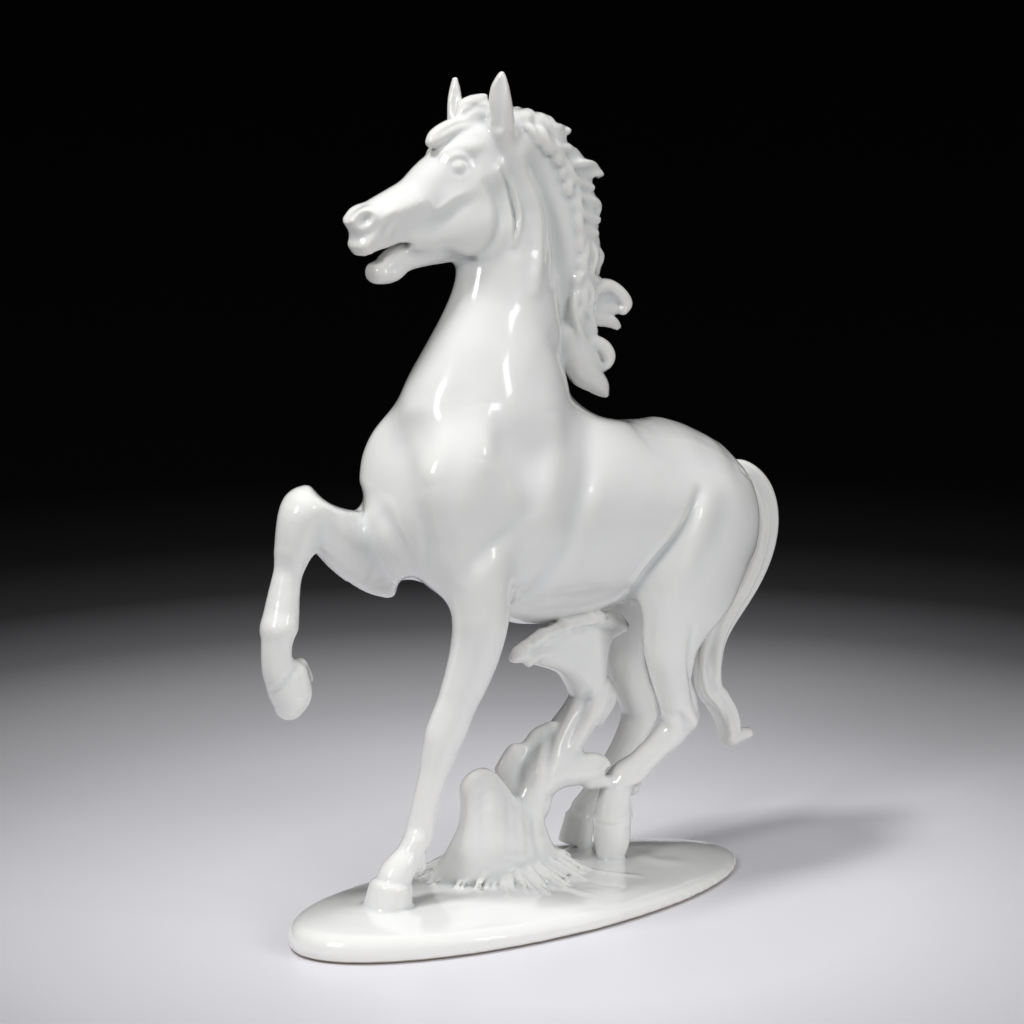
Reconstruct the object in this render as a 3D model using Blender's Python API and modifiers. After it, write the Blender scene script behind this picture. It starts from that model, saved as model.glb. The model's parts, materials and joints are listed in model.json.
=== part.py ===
"""Porcelain horse figurine, as the cast pieces that are luted together before the glaze is fired.

The horse faces -X with its left side towards -Y. Z is up, and z = 0 is the foot that the base stands on.
Sizes are in millimetres, and MM turns them into Blender's metres. The horse and the tree stump are placed
in the frame of the empty "ground", which lies on top of the base, and the head in that of the empty "poll".
"""

import math

import bmesh
import bpy
import numpy as np
from mathutils import Matrix, Vector

MM = 0.001

# Casting
WALL = 4.5
SEAM = 0.3
# Width of the cut at a seam, as a share of the piece that meets there
SEAM_REACH = 1.12
VENT_DIAMETER = 4.0
VENT_LENGTH = 30.0
VENT_PLACE = Vector((-8.0, 0.0, 95.0))

# Base: an oval whose top falls from the front end to the rear one
BASE_LENGTH = 196.0
BASE_WIDTH = 85.0
BASE_FRONT_HEIGHT = 10.0
BASE_REAR_HEIGHT = 3.6
BASE_WALL = 3.2
FOOT_WIDTH = 8.0
BASE_CENTRE = Vector((-16.6, 0.0, 0.0))
# Rings of the base from its foot to its top, and of the hollow below it: inset, share of the rim's height, and rise
BASE_RINGS = [
    (1.6, 0, 0),
    (0.5, 0.15, 0),
    (0, 0.35, 0),
    (0.8, 0.7, 0),
    (2.5, 0.92, 0),
    (5.5, 1, 0.3),
    (11, 1, 1.4),
    (20, 1, 2.7),
    (30, 1, 3.6),
]
RECESS_RINGS = [
    (FOOT_WIDTH, 0, -1),
    (FOOT_WIDTH + 4, 1, 1.4 - BASE_WALL),
    (FOOT_WIDTH + 20, 1, 2.8 - BASE_WALL),
]

# Where the frame of the horse's own sizes stands on the base
HORSE_STAND = Vector((8.5, 10.0, 3.0 + BASE_FRONT_HEIGHT))

# Head carriage
POLL = Vector((0.5, 4.0, 262.0))
HEAD_PITCH = 25.0
HEAD_TURN = 9.0

# Rounding of a leg's upper end inside the trunk, and the row of the tail where its curl begins
LEG_ROOT_ROUND = 8.0
TAIL_SEAM_ROW = 7

# Facets around each kind of piece
TRUNK_SIDES = 22
NECK_SIDES = 20
LEG_SIDES = 14
LOCK_SIDES = 10
BASE_SIDES = 48

# Rows of a loft: x, y, z of the middle, then the half sizes across, to the front and to the back.
# "Front" is above on the trunk, which runs from the breast to the buttock.
TRUNK_ROWS = [
    (-55, 0, 138, 17, 18, 18),
    (-49, 0, 137, 25, 27, 27),
    (-36, 0, 135, 29.5, 36, 35),
    (-18, 0, 132, 31, 40, 39),
    (2, 0, 130, 31, 41, 40),
    (22, 0, 128, 32, 39, 38),
    (42, 0, 124, 32.5, 32, 33),
    (62, 0, 120, 32, 30.5, 30),
    (80, 0, 114, 30, 28.5, 29),
    (93, 0, 109, 24, 24.5, 26),
    (99, 0, 108, 16, 17, 18),
]
NECK_ROWS = [
    (-18, 0, 142, 25, 33, 33),
    (-14, 0, 165, 26, 37, 34),
    (-10, 0, 182, 21, 31, 27),
    (-6.2, 1, 197, 16.6, 25.4, 23),
    (-4, 1.8, 212, 13.8, 21, 19.6),
    (-2.5, 3, 235, 10.7, 15.8, 15.7),
    (-4, 4, 252, 9, 12, 12),
    (-7, 4.5, 261, 7, 8.5, 8.5),
]
LEFT_FORELEG_ROWS = [
    (-35, -14, 142, 9, 12, 12),
    (-36, -20, 122, 12, 15, 15),
    (-36, -23, 102, 10.5, 10.5, 10.5),
    (-37.5, -21, 85, 9, 9, 9),
    (-43, -18, 68.5, 7.1, 7.1, 7.1),
    (-47, -16, 57.5, 7.4, 7.6, 7.4),
    (-50.6, -14.5, 44, 5, 5.1, 5.1),
    (-54, -13, 29.5, 4.8, 4.9, 4.9),
    (-57, -12, 17.5, 5.8, 5.6, 6.2),
    (-62, -12, 12, 5.4, 5.2, 5.4),
    (-67, -12, 8, 7, 7.2, 7),
    (-69.5, -12, -5, 9.6, 10, 9),
]
RIGHT_FOREARM_ROWS = [
    (-24, 17, 120, 12, 17, 16),
    (-41, 21, 114, 11, 14, 13.5),
    (-58, 23, 123.5, 8.8, 10, 10.4),
    (-67, 23, 130, 7.2, 7.6, 8),
    (-77, 23, 136, 7.2, 6.8, 7),
]
RIGHT_SHIN_ROWS = [
    (-77, 23, 137, 6.2, 6.2, 6.2),
    (-81, 23, 126, 5.5, 5.6, 5.6),
    (-86.5, 22, 112, 5, 5.2, 5.2),
    (-90.3, 21, 97.5, 6.6, 6.4, 7.4),
    (-92.3, 20, 89, 5.6, 5.6, 5.6),
    (-90.8, 19.4, 81, 7, 7, 7.4),
    (-87.5, 19, 67, 7.6, 5.4, 6.6),
]
LEFT_HINDLEG_ROWS = [
    (71, -13, 127, 17, 27, 27),
    (63, -20, 109, 13.5, 26, 29),
    (55, -24.5, 92, 11.5, 20, 23),
    (50.5, -24.5, 79.5, 9.2, 12.5, 14),
    (50.5, -23.5, 71, 8.2, 9.6, 10),
    (54, -21, 58.5, 6.3, 7.2, 7.6),
    (60, -19, 46, 6.3, 7.6, 7.6),
    (50, -17, 36, 4.8, 5, 5),
    (38, -14, 25.5, 5.6, 6.2, 6.4),
    (34.2, -12.5, 18, 5.2, 5.2, 5.4),
    (33.5, -11.6, 12.5, 6.6, 7, 6.8),
    (33.5, -11, -7, 7.6, 8.4, 7.8),
]
RIGHT_HINDLEG_ROWS = [
    (72, 13, 125, 17, 27, 27),
    (68, 17, 105, 13, 25, 24),
    (63, 18, 85, 10.5, 16, 16),
    (61, 16.5, 65, 8, 10.5, 10.5),
    (66, 15, 48.5, 6, 7.2, 7.4),
    (69.5, 14.8, 38.5, 6, 7.6, 7.6),
    (60.5, 13.6, 27.5, 4.8, 5, 5),
    (50.4, 12.4, 16.5, 5.5, 6, 6.2),
    (44, 12, 10, 5.1, 5.2, 5.2),
    (40, 11.6, 4.5, 6.5, 6.8, 6.6),
    (36, 11.5, -8, 7.6, 8.2, 7.6),
]
# Each shoulder, on its own side of the middle
SHOULDER_CENTRE = Vector((-39.0, 15.5, 142.0))
SHOULDER_RADII = Vector((19.0, 14.5, 27.0))
# Head rows are in the poll's frame and run from the muzzle back, with "front" above.
SKULL_ROWS = [
    (-71.5, 0, -2, 5, 5.5, 5.5),
    (-66, 0, -2, 7, 8.2, 8.5),
    (-57, 0, -4, 7.4, 9.8, 10),
    (-47, 0, -6, 9, 11, 12),
    (-37, 0, -7, 11, 12.2, 13),
    (-26, 0, -6, 12.5, 12.3, 12),
    (-14, 0, -4, 11.5, 9.5, 10),
    (-4, 0, -4, 8.5, 6.5, 6),
]
CHEEK_CENTRE = Vector((-29.0, 0.0, -17.0))
CHEEK_RADII = Vector((17.0, 11.0, 17.0))
JAW_ROWS = [
    (-72, 0, -17, 4.3, 2.8, 3.0),
    (-68, 0, -17.2, 5, 3.5, 3.7),
    (-60, 0, -17.6, 5.2, 3.0, 3.6),
    (-50, 0, -19.5, 6.2, 4, 5.2),
    (-42, 0, -21, 7.6, 6, 7.5),
]
# Ears and forelock are placed from the poll, in the ground's frame.
LEFT_EAR_ROWS = [
    (-12, -6.5, -3, 3.6, 3.6, 3.4),
    (-12.5, -7.5, 5, 3.9, 3.4, 3.2),
    (-12.8, -8.5, 13, 3.4, 2.8, 2.6),
    (-13.3, -10, 21.5, 1.2, 1.0, 1.0),
]
RIGHT_EAR_ROWS = [
    (-16.5, 7.5, -3, 3.6, 3.6, 3.4),
    (-17.3, 8.6, 4, 3.6, 3.2, 3.0),
    (-17.7, 9.4, 11, 3.0, 2.6, 2.4),
    (-18, 10.2, 17.5, 1.1, 1.0, 1.0),
]
FORELOCK_ROWS = [
    (2, 1, 2, 5, 3.5, 3.5),
    (-9, 1.5, 8, 5.5, 4, 4),
    (-21, 3, 7.5, 5, 4, 4),
    (-31, 4.5, 2, 3.6, 3, 3),
]
TAIL_ROWS = [
    (87, 0, 125, 5, 5, 5),
    (100, 1, 129, 5.4, 5.4, 5.4),
    (111, 3, 122.5, 6.4, 6, 6),
    (116, 4, 110, 7, 6.2, 6.2),
    (116, 4, 96, 7.2, 6.2, 6.2),
    (108, 2, 80, 6.8, 6, 6),
    (96.5, 1, 67, 5.6, 5.2, 5.2),
    (90, 0, 55, 5, 4.8, 4.8),
    (90, -0.5, 45, 4.8, 4.4, 4.4),
    (96, -1.5, 38.5, 4.8, 4, 4),
    (101, -2, 31, 4.4, 3.6, 3.6),
    (101.5, -2, 24, 2.4, 2.0, 2.0),
]

# Mane locks, from the poll to the withers. Each starts inside the neck's crest and ends in a free tip.
MANE_LOCKS = [
    [(-3, 2, 264, 5, 4, 4), (8, 1, 261, 7, 5.5, 5.5), (15, -2, 257, 5.5, 4, 4), (20, -4, 261, 2, 1.6, 1.6)],
    [(5, 3, 254, 6, 5, 5), (15, 1, 249, 7.5, 6, 6), (23, -2, 243, 6, 5, 5), (29.5, -4, 242, 4, 3.4, 3.4),
     (34, -5, 245, 1.6, 1.4, 1.4)],
    [(10, 2, 245, 6, 5, 5), (19, 0, 238, 7.5, 6, 6), (26, -2.5, 231.5, 5.5, 4.5, 4.5), (33, -4.5, 232, 2, 1.6, 1.6)],
    [(13, 1.5, 232, 6.5, 5, 5), (21.5, 0, 222, 8, 6.5, 6.5), (27, -2, 212, 6.5, 5, 5), (32, -4, 206, 2.4, 2, 2)],
    [(13, 1, 214, 6.5, 5, 5), (22, -0.5, 206, 8, 6.5, 6.5), (31, -3, 201, 6.5, 5, 5), (39, -4.5, 199, 5, 4, 4),
     (42.5, -5, 194, 3.6, 3, 3), (39.5, -5, 189, 1.6, 1.4, 1.4)],
    [(12, 0.5, 199, 6.5, 5.5, 5.5), (20.5, -1, 189, 8, 7, 7), (27.5, -3, 180, 7, 6, 6), (32, -5, 171, 4.8, 4, 4),
     (34, -6, 164, 1.8, 1.5, 1.5)],
]

# Tree stump
STUMP_ROWS = [
    (-4, -5, -7, 22, 27, 26),
    (-3, -5, 0, 17, 21, 19),
    (0.5, -5, 9, 11.5, 13.5, 12.5),
    (3.5, -5.5, 21, 9.5, 11, 10.5),
    (7, -6, 33, 8.4, 10.5, 9),
    (10.5, -6, 42.5, 7.4, 8.5, 8),
]
STUB_ROWS = [
    (-20, -9, -7, 11, 14, 12),
    (-21, -9, 6, 8.5, 10, 9),
    (-21.5, -9, 20, 8, 9.4, 9),
    (-22, -9, 34, 7.4, 9, 8.6),
]
STEM_ROWS = [
    (11.5, -6, 40, 7, 8, 8),
    (17.5, -4.5, 48.5, 7.2, 7.6, 7.6),
    (24.5, -2.5, 55.5, 7, 7.4, 7.4),
    (28, -1.5, 62.5, 5.4, 5.8, 5.8),
    (27.5, -2, 69.5, 5.6, 6, 6),
    (23.5, -4, 78.5, 8, 9, 9),
]
SHELF_ROWS = [
    (-11, -10, 78, 3.5, 2, 2),
    (-2, -9.5, 81.5, 7.5, 4.5, 4),
    (12, -8, 86.5, 10.5, 6.5, 5.5),
    (26, -7, 87.5, 11, 7, 6),
    (38, -6, 84.5, 9, 6, 5.5),
    (45, -6, 81, 4, 3, 3),
]
BRANCH_ROWS = [
    (7, -6, 20.5, 6.4, 6.8, 6.8),
    (15, -8, 27.5, 6, 6.4, 6.4),
    (23, -10.5, 31.5, 5.6, 5.8, 5.8),
    (29.5, -12, 30.5, 4.6, 4.8, 4.8),
]
SPLINTER_ROWS = [
    (-3, -5, 21, 5, 8, 7),
    (2, -5, 33, 4.4, 8, 6),
    (7, -5, 43.5, 3.2, 5, 4),
    (10, -5, 50, 1.2, 1.6, 1.6),
]


def clear_scene():
    for obj in list(bpy.data.objects):
        bpy.data.objects.remove(obj)


def new_collection(name, hidden=False):
    made = bpy.data.collections.new(name)
    bpy.context.scene.collection.children.link(made)
    made.hide_render = hidden
    return made


def new_empty(name, parent=None, location=(0, 0, 0), rotation=(0, 0, 0)):
    made = bpy.data.objects.new(name, None)
    made.parent = parent
    made.location = Vector(location) * MM
    made.rotation_euler = rotation
    pieces.objects.link(made)
    return made


def porcelain():
    """White glazed porcelain."""
    made = bpy.data.materials.new("glazed_porcelain")
    made.use_nodes = True
    shader = made.node_tree.nodes["Principled BSDF"]
    shader.inputs["Base Color"].default_value = (0.86, 0.87, 0.86, 1.0)
    shader.inputs["Roughness"].default_value = 0.12
    shader.inputs["Metallic"].default_value = 0.0
    return made


def smooth_rows(rows, steps):
    """The rows with others filled in between, on a Catmull-Rom curve, and the curve's direction added to each row."""
    rows = np.array(rows, float)
    ends = np.vstack([2 * rows[0] - rows[1], rows, 2 * rows[-1] - rows[-2]])
    t = np.arange(steps)[:, None] / steps
    filled = [
        b + 0.5 * ((c - a) * t + (2 * a - 5 * b + 4 * c - d) * t**2 + (3 * b - a - 3 * c + d) * t**3)
        for a, b, c, d in zip(ends, ends[1:], ends[2:], ends[3:])
    ]
    filled = np.vstack([*filled, rows[-1:]])
    ways = np.gradient(filled[:, :3], axis=0)
    return np.hstack([filled, ways / np.linalg.norm(ways, axis=1)[:, None]])


def ring_points(row, across, sides):
    """Points of the oval section at a row, in the plane across its direction."""
    along, across = Vector(row[6:9]), Vector(across)
    side = (across - across.project(along)).normalized()
    front = along.cross(side)
    points = []
    for k in range(sides):
        turn = 2 * math.pi * k / sides
        depth = row[4] if math.sin(turn) > 0 else row[5]
        points.append(Vector(row[:3]) + side * row[3] * math.cos(turn) + front * depth * math.sin(turn))
    return points


def rounded_end(row, length, count=3):
    """Rows that carry an end out by length, against its direction if negative, and close it with a dome."""
    rows = []
    for k in range(1, count + 1):
        turn = 0.5 * math.pi * k / (count + 0.35)
        rows.append(np.r_[row[:3] + row[6:9] * length * math.sin(turn), row[3:6] * math.cos(turn), row[6:9]])
    return rows


def skin(rings):
    """A closed mesh through the rings, with its two ends filled."""
    bm = bmesh.new()
    loops = [[bm.verts.new(point * MM) for point in ring] for ring in rings]
    for low, high in zip(loops, loops[1:]):
        for k in range(len(low)):
            j = (k + 1) % len(low)
            bm.faces.new((low[k], low[j], high[j], high[k]))
    bm.faces.new(loops[0])
    bm.faces.new(loops[-1])
    bmesh.ops.recalc_face_normals(bm, faces=bm.faces)
    return bm


def add_object(name, bm, parent, collection):
    mesh = bpy.data.meshes.new(name)
    bm.to_mesh(mesh)
    bm.free()
    mesh.shade_smooth()
    mesh.materials.append(glaze)
    made = bpy.data.objects.new(name, mesh)
    made.parent = parent
    collection.objects.link(made)
    return made


def loft(name, rows, parent, sides, across=(0, 1, 0), round_start=0.0, round_end=0.0, collection=None):
    """A closed form through filled-in rows. A rounded end is carried out by that length."""
    start = rounded_end(rows[0], -round_start)[::-1] if round_start else []
    end = rounded_end(rows[-1], round_end) if round_end else []
    rings = [ring_points(row, across, sides) for row in (*start, *rows, *end)]
    made = add_object(name, skin(rings), parent, collection or pieces)
    if not collection:
        outers[name] = [outer_form(made)]
    return made


def ellipsoid(name, centre, radii, parent):
    bm = bmesh.new()
    place = Matrix.Translation(Vector(centre) * MM) @ Matrix.Diagonal((*(radii * MM), 1.0))
    bmesh.ops.create_uvsphere(bm, u_segments=16, v_segments=10, radius=1.0, matrix=place)
    made = add_object(name, bm, parent, pieces)
    outers[name] = [outer_form(made)]
    return made


def shrunk(rows, by):
    """The rows with each half size smaller by a wall."""
    inner = rows.copy()
    inner[:, 3:6] -= by
    return inner


def evaluated_mesh(obj):
    bpy.context.view_layer.update()
    graph = bpy.context.evaluated_depsgraph_get()
    return bpy.data.meshes.new_from_object(obj.evaluated_get(graph))


def boolean(target, cutter, operation):
    """Joins or cuts the target's mesh with the cutter's."""
    change = target.modifiers.new(operation.lower(), "BOOLEAN")
    change.operation = operation
    change.object = cutter
    mesh = evaluated_mesh(target)
    target.modifiers.remove(change)
    target.data = mesh


def join(name, first, *others):
    """One piece of several overlapping forms."""
    outers[name] = [outer for form in (first, *others) for outer in outers.pop(form.name)]
    for other in others:
        boolean(first, other, "UNION")
        bpy.data.objects.remove(other)
    first.name = name
    return first


def cut(target, *cutters):
    for cutter in cutters:
        boolean(target, cutter, "DIFFERENCE")


def seat(piece, *neighbours):
    """Cuts a piece back to a seam's width from the outer forms of its neighbours."""
    for neighbour in neighbours:
        cut(piece, *outers[neighbour])


def outer_form(obj):
    """A copy of a form grown by the seam, for its neighbours to be cut back from."""
    bpy.context.view_layer.update()
    made = bpy.data.objects.new(obj.name + "_outer", obj.data)
    made.matrix_world = obj.matrix_world
    made.display_type = "WIRE"
    made.hide_render = True
    cutters.objects.link(made)
    grow = made.modifiers.new("grow", "DISPLACE")
    grow.strength = SEAM * MM
    grow.mid_level = 0.0
    return made


def blend(piece, voxel, rounds, kept):
    """Melts a piece's joined forms into one smooth skin, and thins its facets to the share kept."""
    remesh = piece.modifiers.new("melt", "REMESH")
    remesh.mode = "VOXEL"
    remesh.voxel_size = voxel * MM
    smooth = piece.modifiers.new("smooth", "SMOOTH")
    smooth.factor = 0.5
    smooth.iterations = rounds
    thin = piece.modifiers.new("thin", "DECIMATE")
    thin.ratio = kept
    piece.data = evaluated_mesh(piece)
    piece.modifiers.clear()


def split_rows(rows, seam, steps):
    """Filled-in rows before the seam at row number seam, with one to spare, then the seam's row, and those after it."""
    filled = smooth_rows(rows, steps)
    at = seam * steps
    far = filled[at:].copy()
    far[0, :3] += far[0, 6:9] * SEAM
    return filled[: at + 2], filled[at], far


def trim(piece, row, side):
    """Cuts a piece off flat at a seam's row, on the side that the row points to, or on the other one if side is -1."""
    near = row.copy()
    near[3:6] *= SEAM_REACH
    far = near.copy()
    far[:3] += side * far[6:9] * max(row[3:6])
    rings = [ring_points(end, (0, 1, 0), LEG_SIDES) for end in (near, far)]
    cut(piece, add_object(piece.name + "_trim", skin(rings), ground, cutters))


def edge_height(x):
    """Height of the base's rim at a place along its length."""
    share = 0.5 + x / BASE_LENGTH
    return BASE_FRONT_HEIGHT + (BASE_REAR_HEIGHT - BASE_FRONT_HEIGHT) * share


def base_rings(levels):
    """Oval rings round the base, each from its inset, its share of the rim's height and its rise above that."""
    rings = []
    for inset, share, rise in levels:
        half_width, half_length = BASE_WIDTH / 2 - inset, BASE_LENGTH / 2 - inset
        ring = ring_points((0, 0, rise, half_width, half_length, half_length, 0, 0, 1), (0, 1, 0), BASE_SIDES)
        rings.append([point + Vector((0, 0, share * edge_height(point.x))) for point in ring])
    return rings


def make_base():
    """Oval base, hollow below, with a foot ring round its edge."""
    base = add_object("base", skin(base_rings(BASE_RINGS)), stand, pieces)
    outers["base"] = [outer_form(base)]
    cut(base, add_object("recess", skin(base_rings(RECESS_RINGS)), stand, cutters))


def make_limbs():
    """The four legs, each as its upper form, which belongs to the trunk, the seam's row and the leg below it."""
    uppers = []
    seams = []
    lowers = []
    for name, rows, seam, round_end in (
        ("left_foreleg", LEFT_FORELEG_ROWS, 2, 0),
        ("left_hindleg", LEFT_HINDLEG_ROWS, 3, 0),
        ("right_hindleg", RIGHT_HINDLEG_ROWS, 3, 0),
        ("right_foreleg", RIGHT_FOREARM_ROWS, 2, 5),
    ):
        near, seam_row, far = split_rows(rows, seam, 2)
        uppers.append(loft(name + "_upper", near, ground, LEG_SIDES, (0, -1, 0), round_start=LEG_ROOT_ROUND))
        seams.append(seam_row)
        lowers.append(loft(name, far, ground, LEG_SIDES, (0, -1, 0), round_end=round_end))
    shin_rows = smooth_rows(RIGHT_SHIN_ROWS, 2)
    shin = loft("right_shin", shin_rows, ground, LEG_SIDES, (0, -1, 0), round_start=4, round_end=1.5)
    join("right_foreleg", lowers[-1], shin)
    return uppers, seams, lowers


def make_body():
    """The hollow trunk, neck and head, with seams at the bottom and the top of the neck."""
    trunk_rows = smooth_rows(TRUNK_ROWS, 2)
    neck_near, neck_seam, neck_far = split_rows(NECK_ROWS, 2, 2)
    neck_rows, head_seam, head_rows = split_rows(NECK_ROWS, 4, 2)
    uppers, seams, legs = make_limbs()

    barrel = loft("barrel", trunk_rows, ground, TRUNK_SIDES, round_start=5, round_end=4)
    neck_stub = loft("neck_stub", neck_near, ground, NECK_SIDES, round_start=4)
    shoulders = [
        ellipsoid(name, SHOULDER_CENTRE * Vector((1, side, 1)), SHOULDER_RADII, ground)
        for name, side in (("left_shoulder", -1), ("right_shoulder", 1))
    ]
    for leg in legs:
        seat(leg, "base", "barrel", "left_shoulder", "right_shoulder")
    trunk = join("trunk", barrel, neck_stub, *shoulders, *uppers)
    blend(trunk, 2.4, 8, 0.14)
    for row in (neck_seam, *seams):
        trim(trunk, row, 1)
    outers["trunk"] = [outer_form(trunk)]
    neck = loft("neck", np.vstack([neck_far[:1], neck_rows[2 * 2 + 1 : -1]]), ground, NECK_SIDES)

    skull = loft("skull", smooth_rows(SKULL_ROWS, 2), poll, NECK_SIDES, round_start=2.5, round_end=4)
    cheeks = ellipsoid("cheeks", CHEEK_CENTRE, CHEEK_RADII, poll)
    nape = loft("nape", np.vstack([neck_rows[-3:-1], head_rows[1:]]), ground, NECK_SIDES, round_end=4)
    head = join("head", nape, skull, cheeks)
    blend(head, 1.5, 5, 0.14)
    trim(head, head_rows[0], -1)
    outers["head"] = [outer_form(head)]

    hollow = loft("hollow", shrunk(trunk_rows[3:-4], WALL), ground, TRUNK_SIDES, collection=cutters)
    throat_rows = shrunk(smooth_rows(NECK_ROWS[:-2], 2), WALL)
    throat = loft("throat", throat_rows, ground, NECK_SIDES, collection=cutters)
    vent_bm = bmesh.new()
    bmesh.ops.create_cone(
        vent_bm, cap_ends=True, segments=16, radius1=VENT_DIAMETER / 2 * MM, radius2=VENT_DIAMETER / 2 * MM,
        depth=VENT_LENGTH * MM, matrix=Matrix.Translation(VENT_PLACE * MM),
    )
    vent = add_object("vent", vent_bm, ground, cutters)
    cut(trunk, hollow, throat, vent)
    cut(neck, throat)
    cut(head, throat)

    jaw = loft("lower_jaw", smooth_rows(JAW_ROWS, 2), poll, LEG_SIDES, round_start=2.5)
    seat(jaw, "head")


def make_ears():
    for name, rows in (("left_ear", LEFT_EAR_ROWS), ("right_ear", RIGHT_EAR_ROWS)):
        placed = [(*(POLL + Vector(row[:3])), *row[3:]) for row in rows]
        ear = loft(name, smooth_rows(placed, 2), ground, LOCK_SIDES, round_end=0.8)
        seat(ear, "head")
    placed = [(*(POLL + Vector(row[:3])), *row[3:]) for row in FORELOCK_ROWS]
    forelock = loft("forelock", smooth_rows(placed, 2), ground, LOCK_SIDES, round_start=2, round_end=2)
    seat(forelock, "head", "left_ear", "right_ear")


def make_mane():
    """Locks along the crest, each cut back from the body and from the locks above it."""
    above = ["neck", "head", "trunk", "left_ear", "forelock"]
    for number, rows in enumerate(MANE_LOCKS, 1):
        name = f"mane_lock_{number}"
        lock = loft(name, smooth_rows(rows, 2), ground, LOCK_SIDES, round_start=2, round_end=1)
        seat(lock, *above)
        above.append(name)


def make_tail():
    near, _, far = split_rows(TAIL_ROWS, TAIL_SEAM_ROW, 2)
    tail = loft("tail", near[:-1], ground, LOCK_SIDES)
    seat(tail, "trunk", "left_hindleg", "right_hindleg")
    loft("tail_curl", far, ground, LOCK_SIDES, round_end=1.5)


def make_stump():
    """The tree stump that carries the belly: its foot, a side branch, the stem and the shelf under the trunk."""
    legs = ("left_foreleg", "left_hindleg", "right_hindleg")
    foot = loft("stump_foot", smooth_rows(STUMP_ROWS, 2), ground, LEG_SIDES, round_end=4)
    stub = loft("stub", smooth_rows(STUB_ROWS, 2), ground, LEG_SIDES, round_end=2)
    splinter = loft("splinter", smooth_rows(SPLINTER_ROWS, 2), ground, LOCK_SIDES, round_end=1)
    stump = join("stump", foot, stub, splinter)
    seat(stump, "base", *legs)
    branch = loft("stump_branch", smooth_rows(BRANCH_ROWS, 2), ground, LOCK_SIDES, round_end=2)
    seat(branch, "stump", *legs)
    stem = loft("stump_stem", smooth_rows(STEM_ROWS, 2), ground, LEG_SIDES)
    seat(stem, "stump", "stump_branch", *legs)
    shelf = loft("stump_shelf", smooth_rows(SHELF_ROWS, 2), ground, LEG_SIDES, round_start=1.5, round_end=2)
    seat(shelf, "trunk", "stump_stem", *legs)


clear_scene()
pieces = new_collection("porcelain_horse")
cutters = new_collection("cutters", hidden=True)
glaze = porcelain()
outers = {}
stand = new_empty("stand", None, BASE_CENTRE)
ground = new_empty("ground", stand, HORSE_STAND)
poll = new_empty("poll", ground, POLL, (0, -math.radians(HEAD_PITCH), -math.radians(HEAD_TURN)))

make_base()
make_body()
make_ears()
make_mane()
make_tail()
make_stump()
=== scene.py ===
"""Looks of the glazed porcelain horse.

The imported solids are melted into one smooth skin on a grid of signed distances. Hair, stump, hooves and
face are modelled on that grid, muscles and folds are pressed into the skin, and the skin is parted again
into one piece for each solid. Sizes are in millimetres until a mesh is made. Places that follow the
photograph are pixels of its 1024 x 1024 frame, each carried onto the skin, or out to a given depth y, by
the camera below.
"""

import json
import math

import bmesh
import bpy
import numpy as np
import openvdb
from mathutils import Euler, Matrix, Vector, noise
from mathutils.bvhtree import BVHTree

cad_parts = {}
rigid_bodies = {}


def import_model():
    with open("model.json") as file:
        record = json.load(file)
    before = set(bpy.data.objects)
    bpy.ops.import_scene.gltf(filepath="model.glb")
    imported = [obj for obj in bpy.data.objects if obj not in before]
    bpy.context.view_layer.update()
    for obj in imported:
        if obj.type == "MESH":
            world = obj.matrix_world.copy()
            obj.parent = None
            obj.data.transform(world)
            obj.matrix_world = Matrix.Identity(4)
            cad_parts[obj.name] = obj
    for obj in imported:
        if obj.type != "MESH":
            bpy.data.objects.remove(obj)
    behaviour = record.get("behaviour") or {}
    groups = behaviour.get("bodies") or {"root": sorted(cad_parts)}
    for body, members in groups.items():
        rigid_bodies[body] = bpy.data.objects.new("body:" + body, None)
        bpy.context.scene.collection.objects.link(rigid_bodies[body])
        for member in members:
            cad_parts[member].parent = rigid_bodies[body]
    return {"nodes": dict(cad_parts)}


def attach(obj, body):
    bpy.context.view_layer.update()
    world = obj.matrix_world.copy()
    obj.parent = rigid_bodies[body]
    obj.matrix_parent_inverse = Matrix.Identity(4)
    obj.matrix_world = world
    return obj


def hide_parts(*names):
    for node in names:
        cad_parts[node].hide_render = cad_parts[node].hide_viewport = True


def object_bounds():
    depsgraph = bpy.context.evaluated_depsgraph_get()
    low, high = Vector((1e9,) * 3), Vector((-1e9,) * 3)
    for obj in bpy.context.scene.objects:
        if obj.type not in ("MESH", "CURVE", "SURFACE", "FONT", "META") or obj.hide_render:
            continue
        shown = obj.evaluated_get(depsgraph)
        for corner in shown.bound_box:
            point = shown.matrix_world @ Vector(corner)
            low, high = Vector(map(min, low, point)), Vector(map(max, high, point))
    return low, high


MM = 0.001
IMAGE = 1024
TINY = 1e-9

# Camera
CAMERA_AZIMUTH = math.radians(-39.0)
CAMERA_ELEVATION = math.radians(13.0)
CAMERA_DISTANCE = 1600.0
CAMERA_LENS = 160.07
CAMERA_SENSOR = 36.0
CAMERA_TARGET = np.array([-16.8, 3.7, 143.1])

# Cells of the grid for the body and for the whole, how far it knows distances, and its margin
COARSE = 1.2
FINE = 0.76
BAND = 6.0
MARGIN = 8.0
# How softly the solids melt together, and what the box round a form reaches past its blend
MELT = 2.0
FORM_MARGIN = 1.0
# Steps from row to row of a curve, in a form and where single places are picked from it
FORM_STEPS = 4
PICK_STEPS = 12
# Steps of a round of Taubin smoothing and of plain wear
TAUBIN = (0.5, -0.52)
WEAR = (0.5,)
# The walls that close the pieces
WALL_DEPTH = 1.0
WALL_RINGS = (0.04, 0.3, 0.65)
SINK_ROUNDS = 6

# The frame of the horse's own sizes and that of its head, as in the solids
GROUND = Vector((-8.1, 10.0, 13.0))
POLL = np.array(GROUND + Vector((0.5, 4.0, 262.0)))
HEAD_PITCH = math.radians(25.0)
HEAD_TURN = math.radians(9.0)

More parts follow.
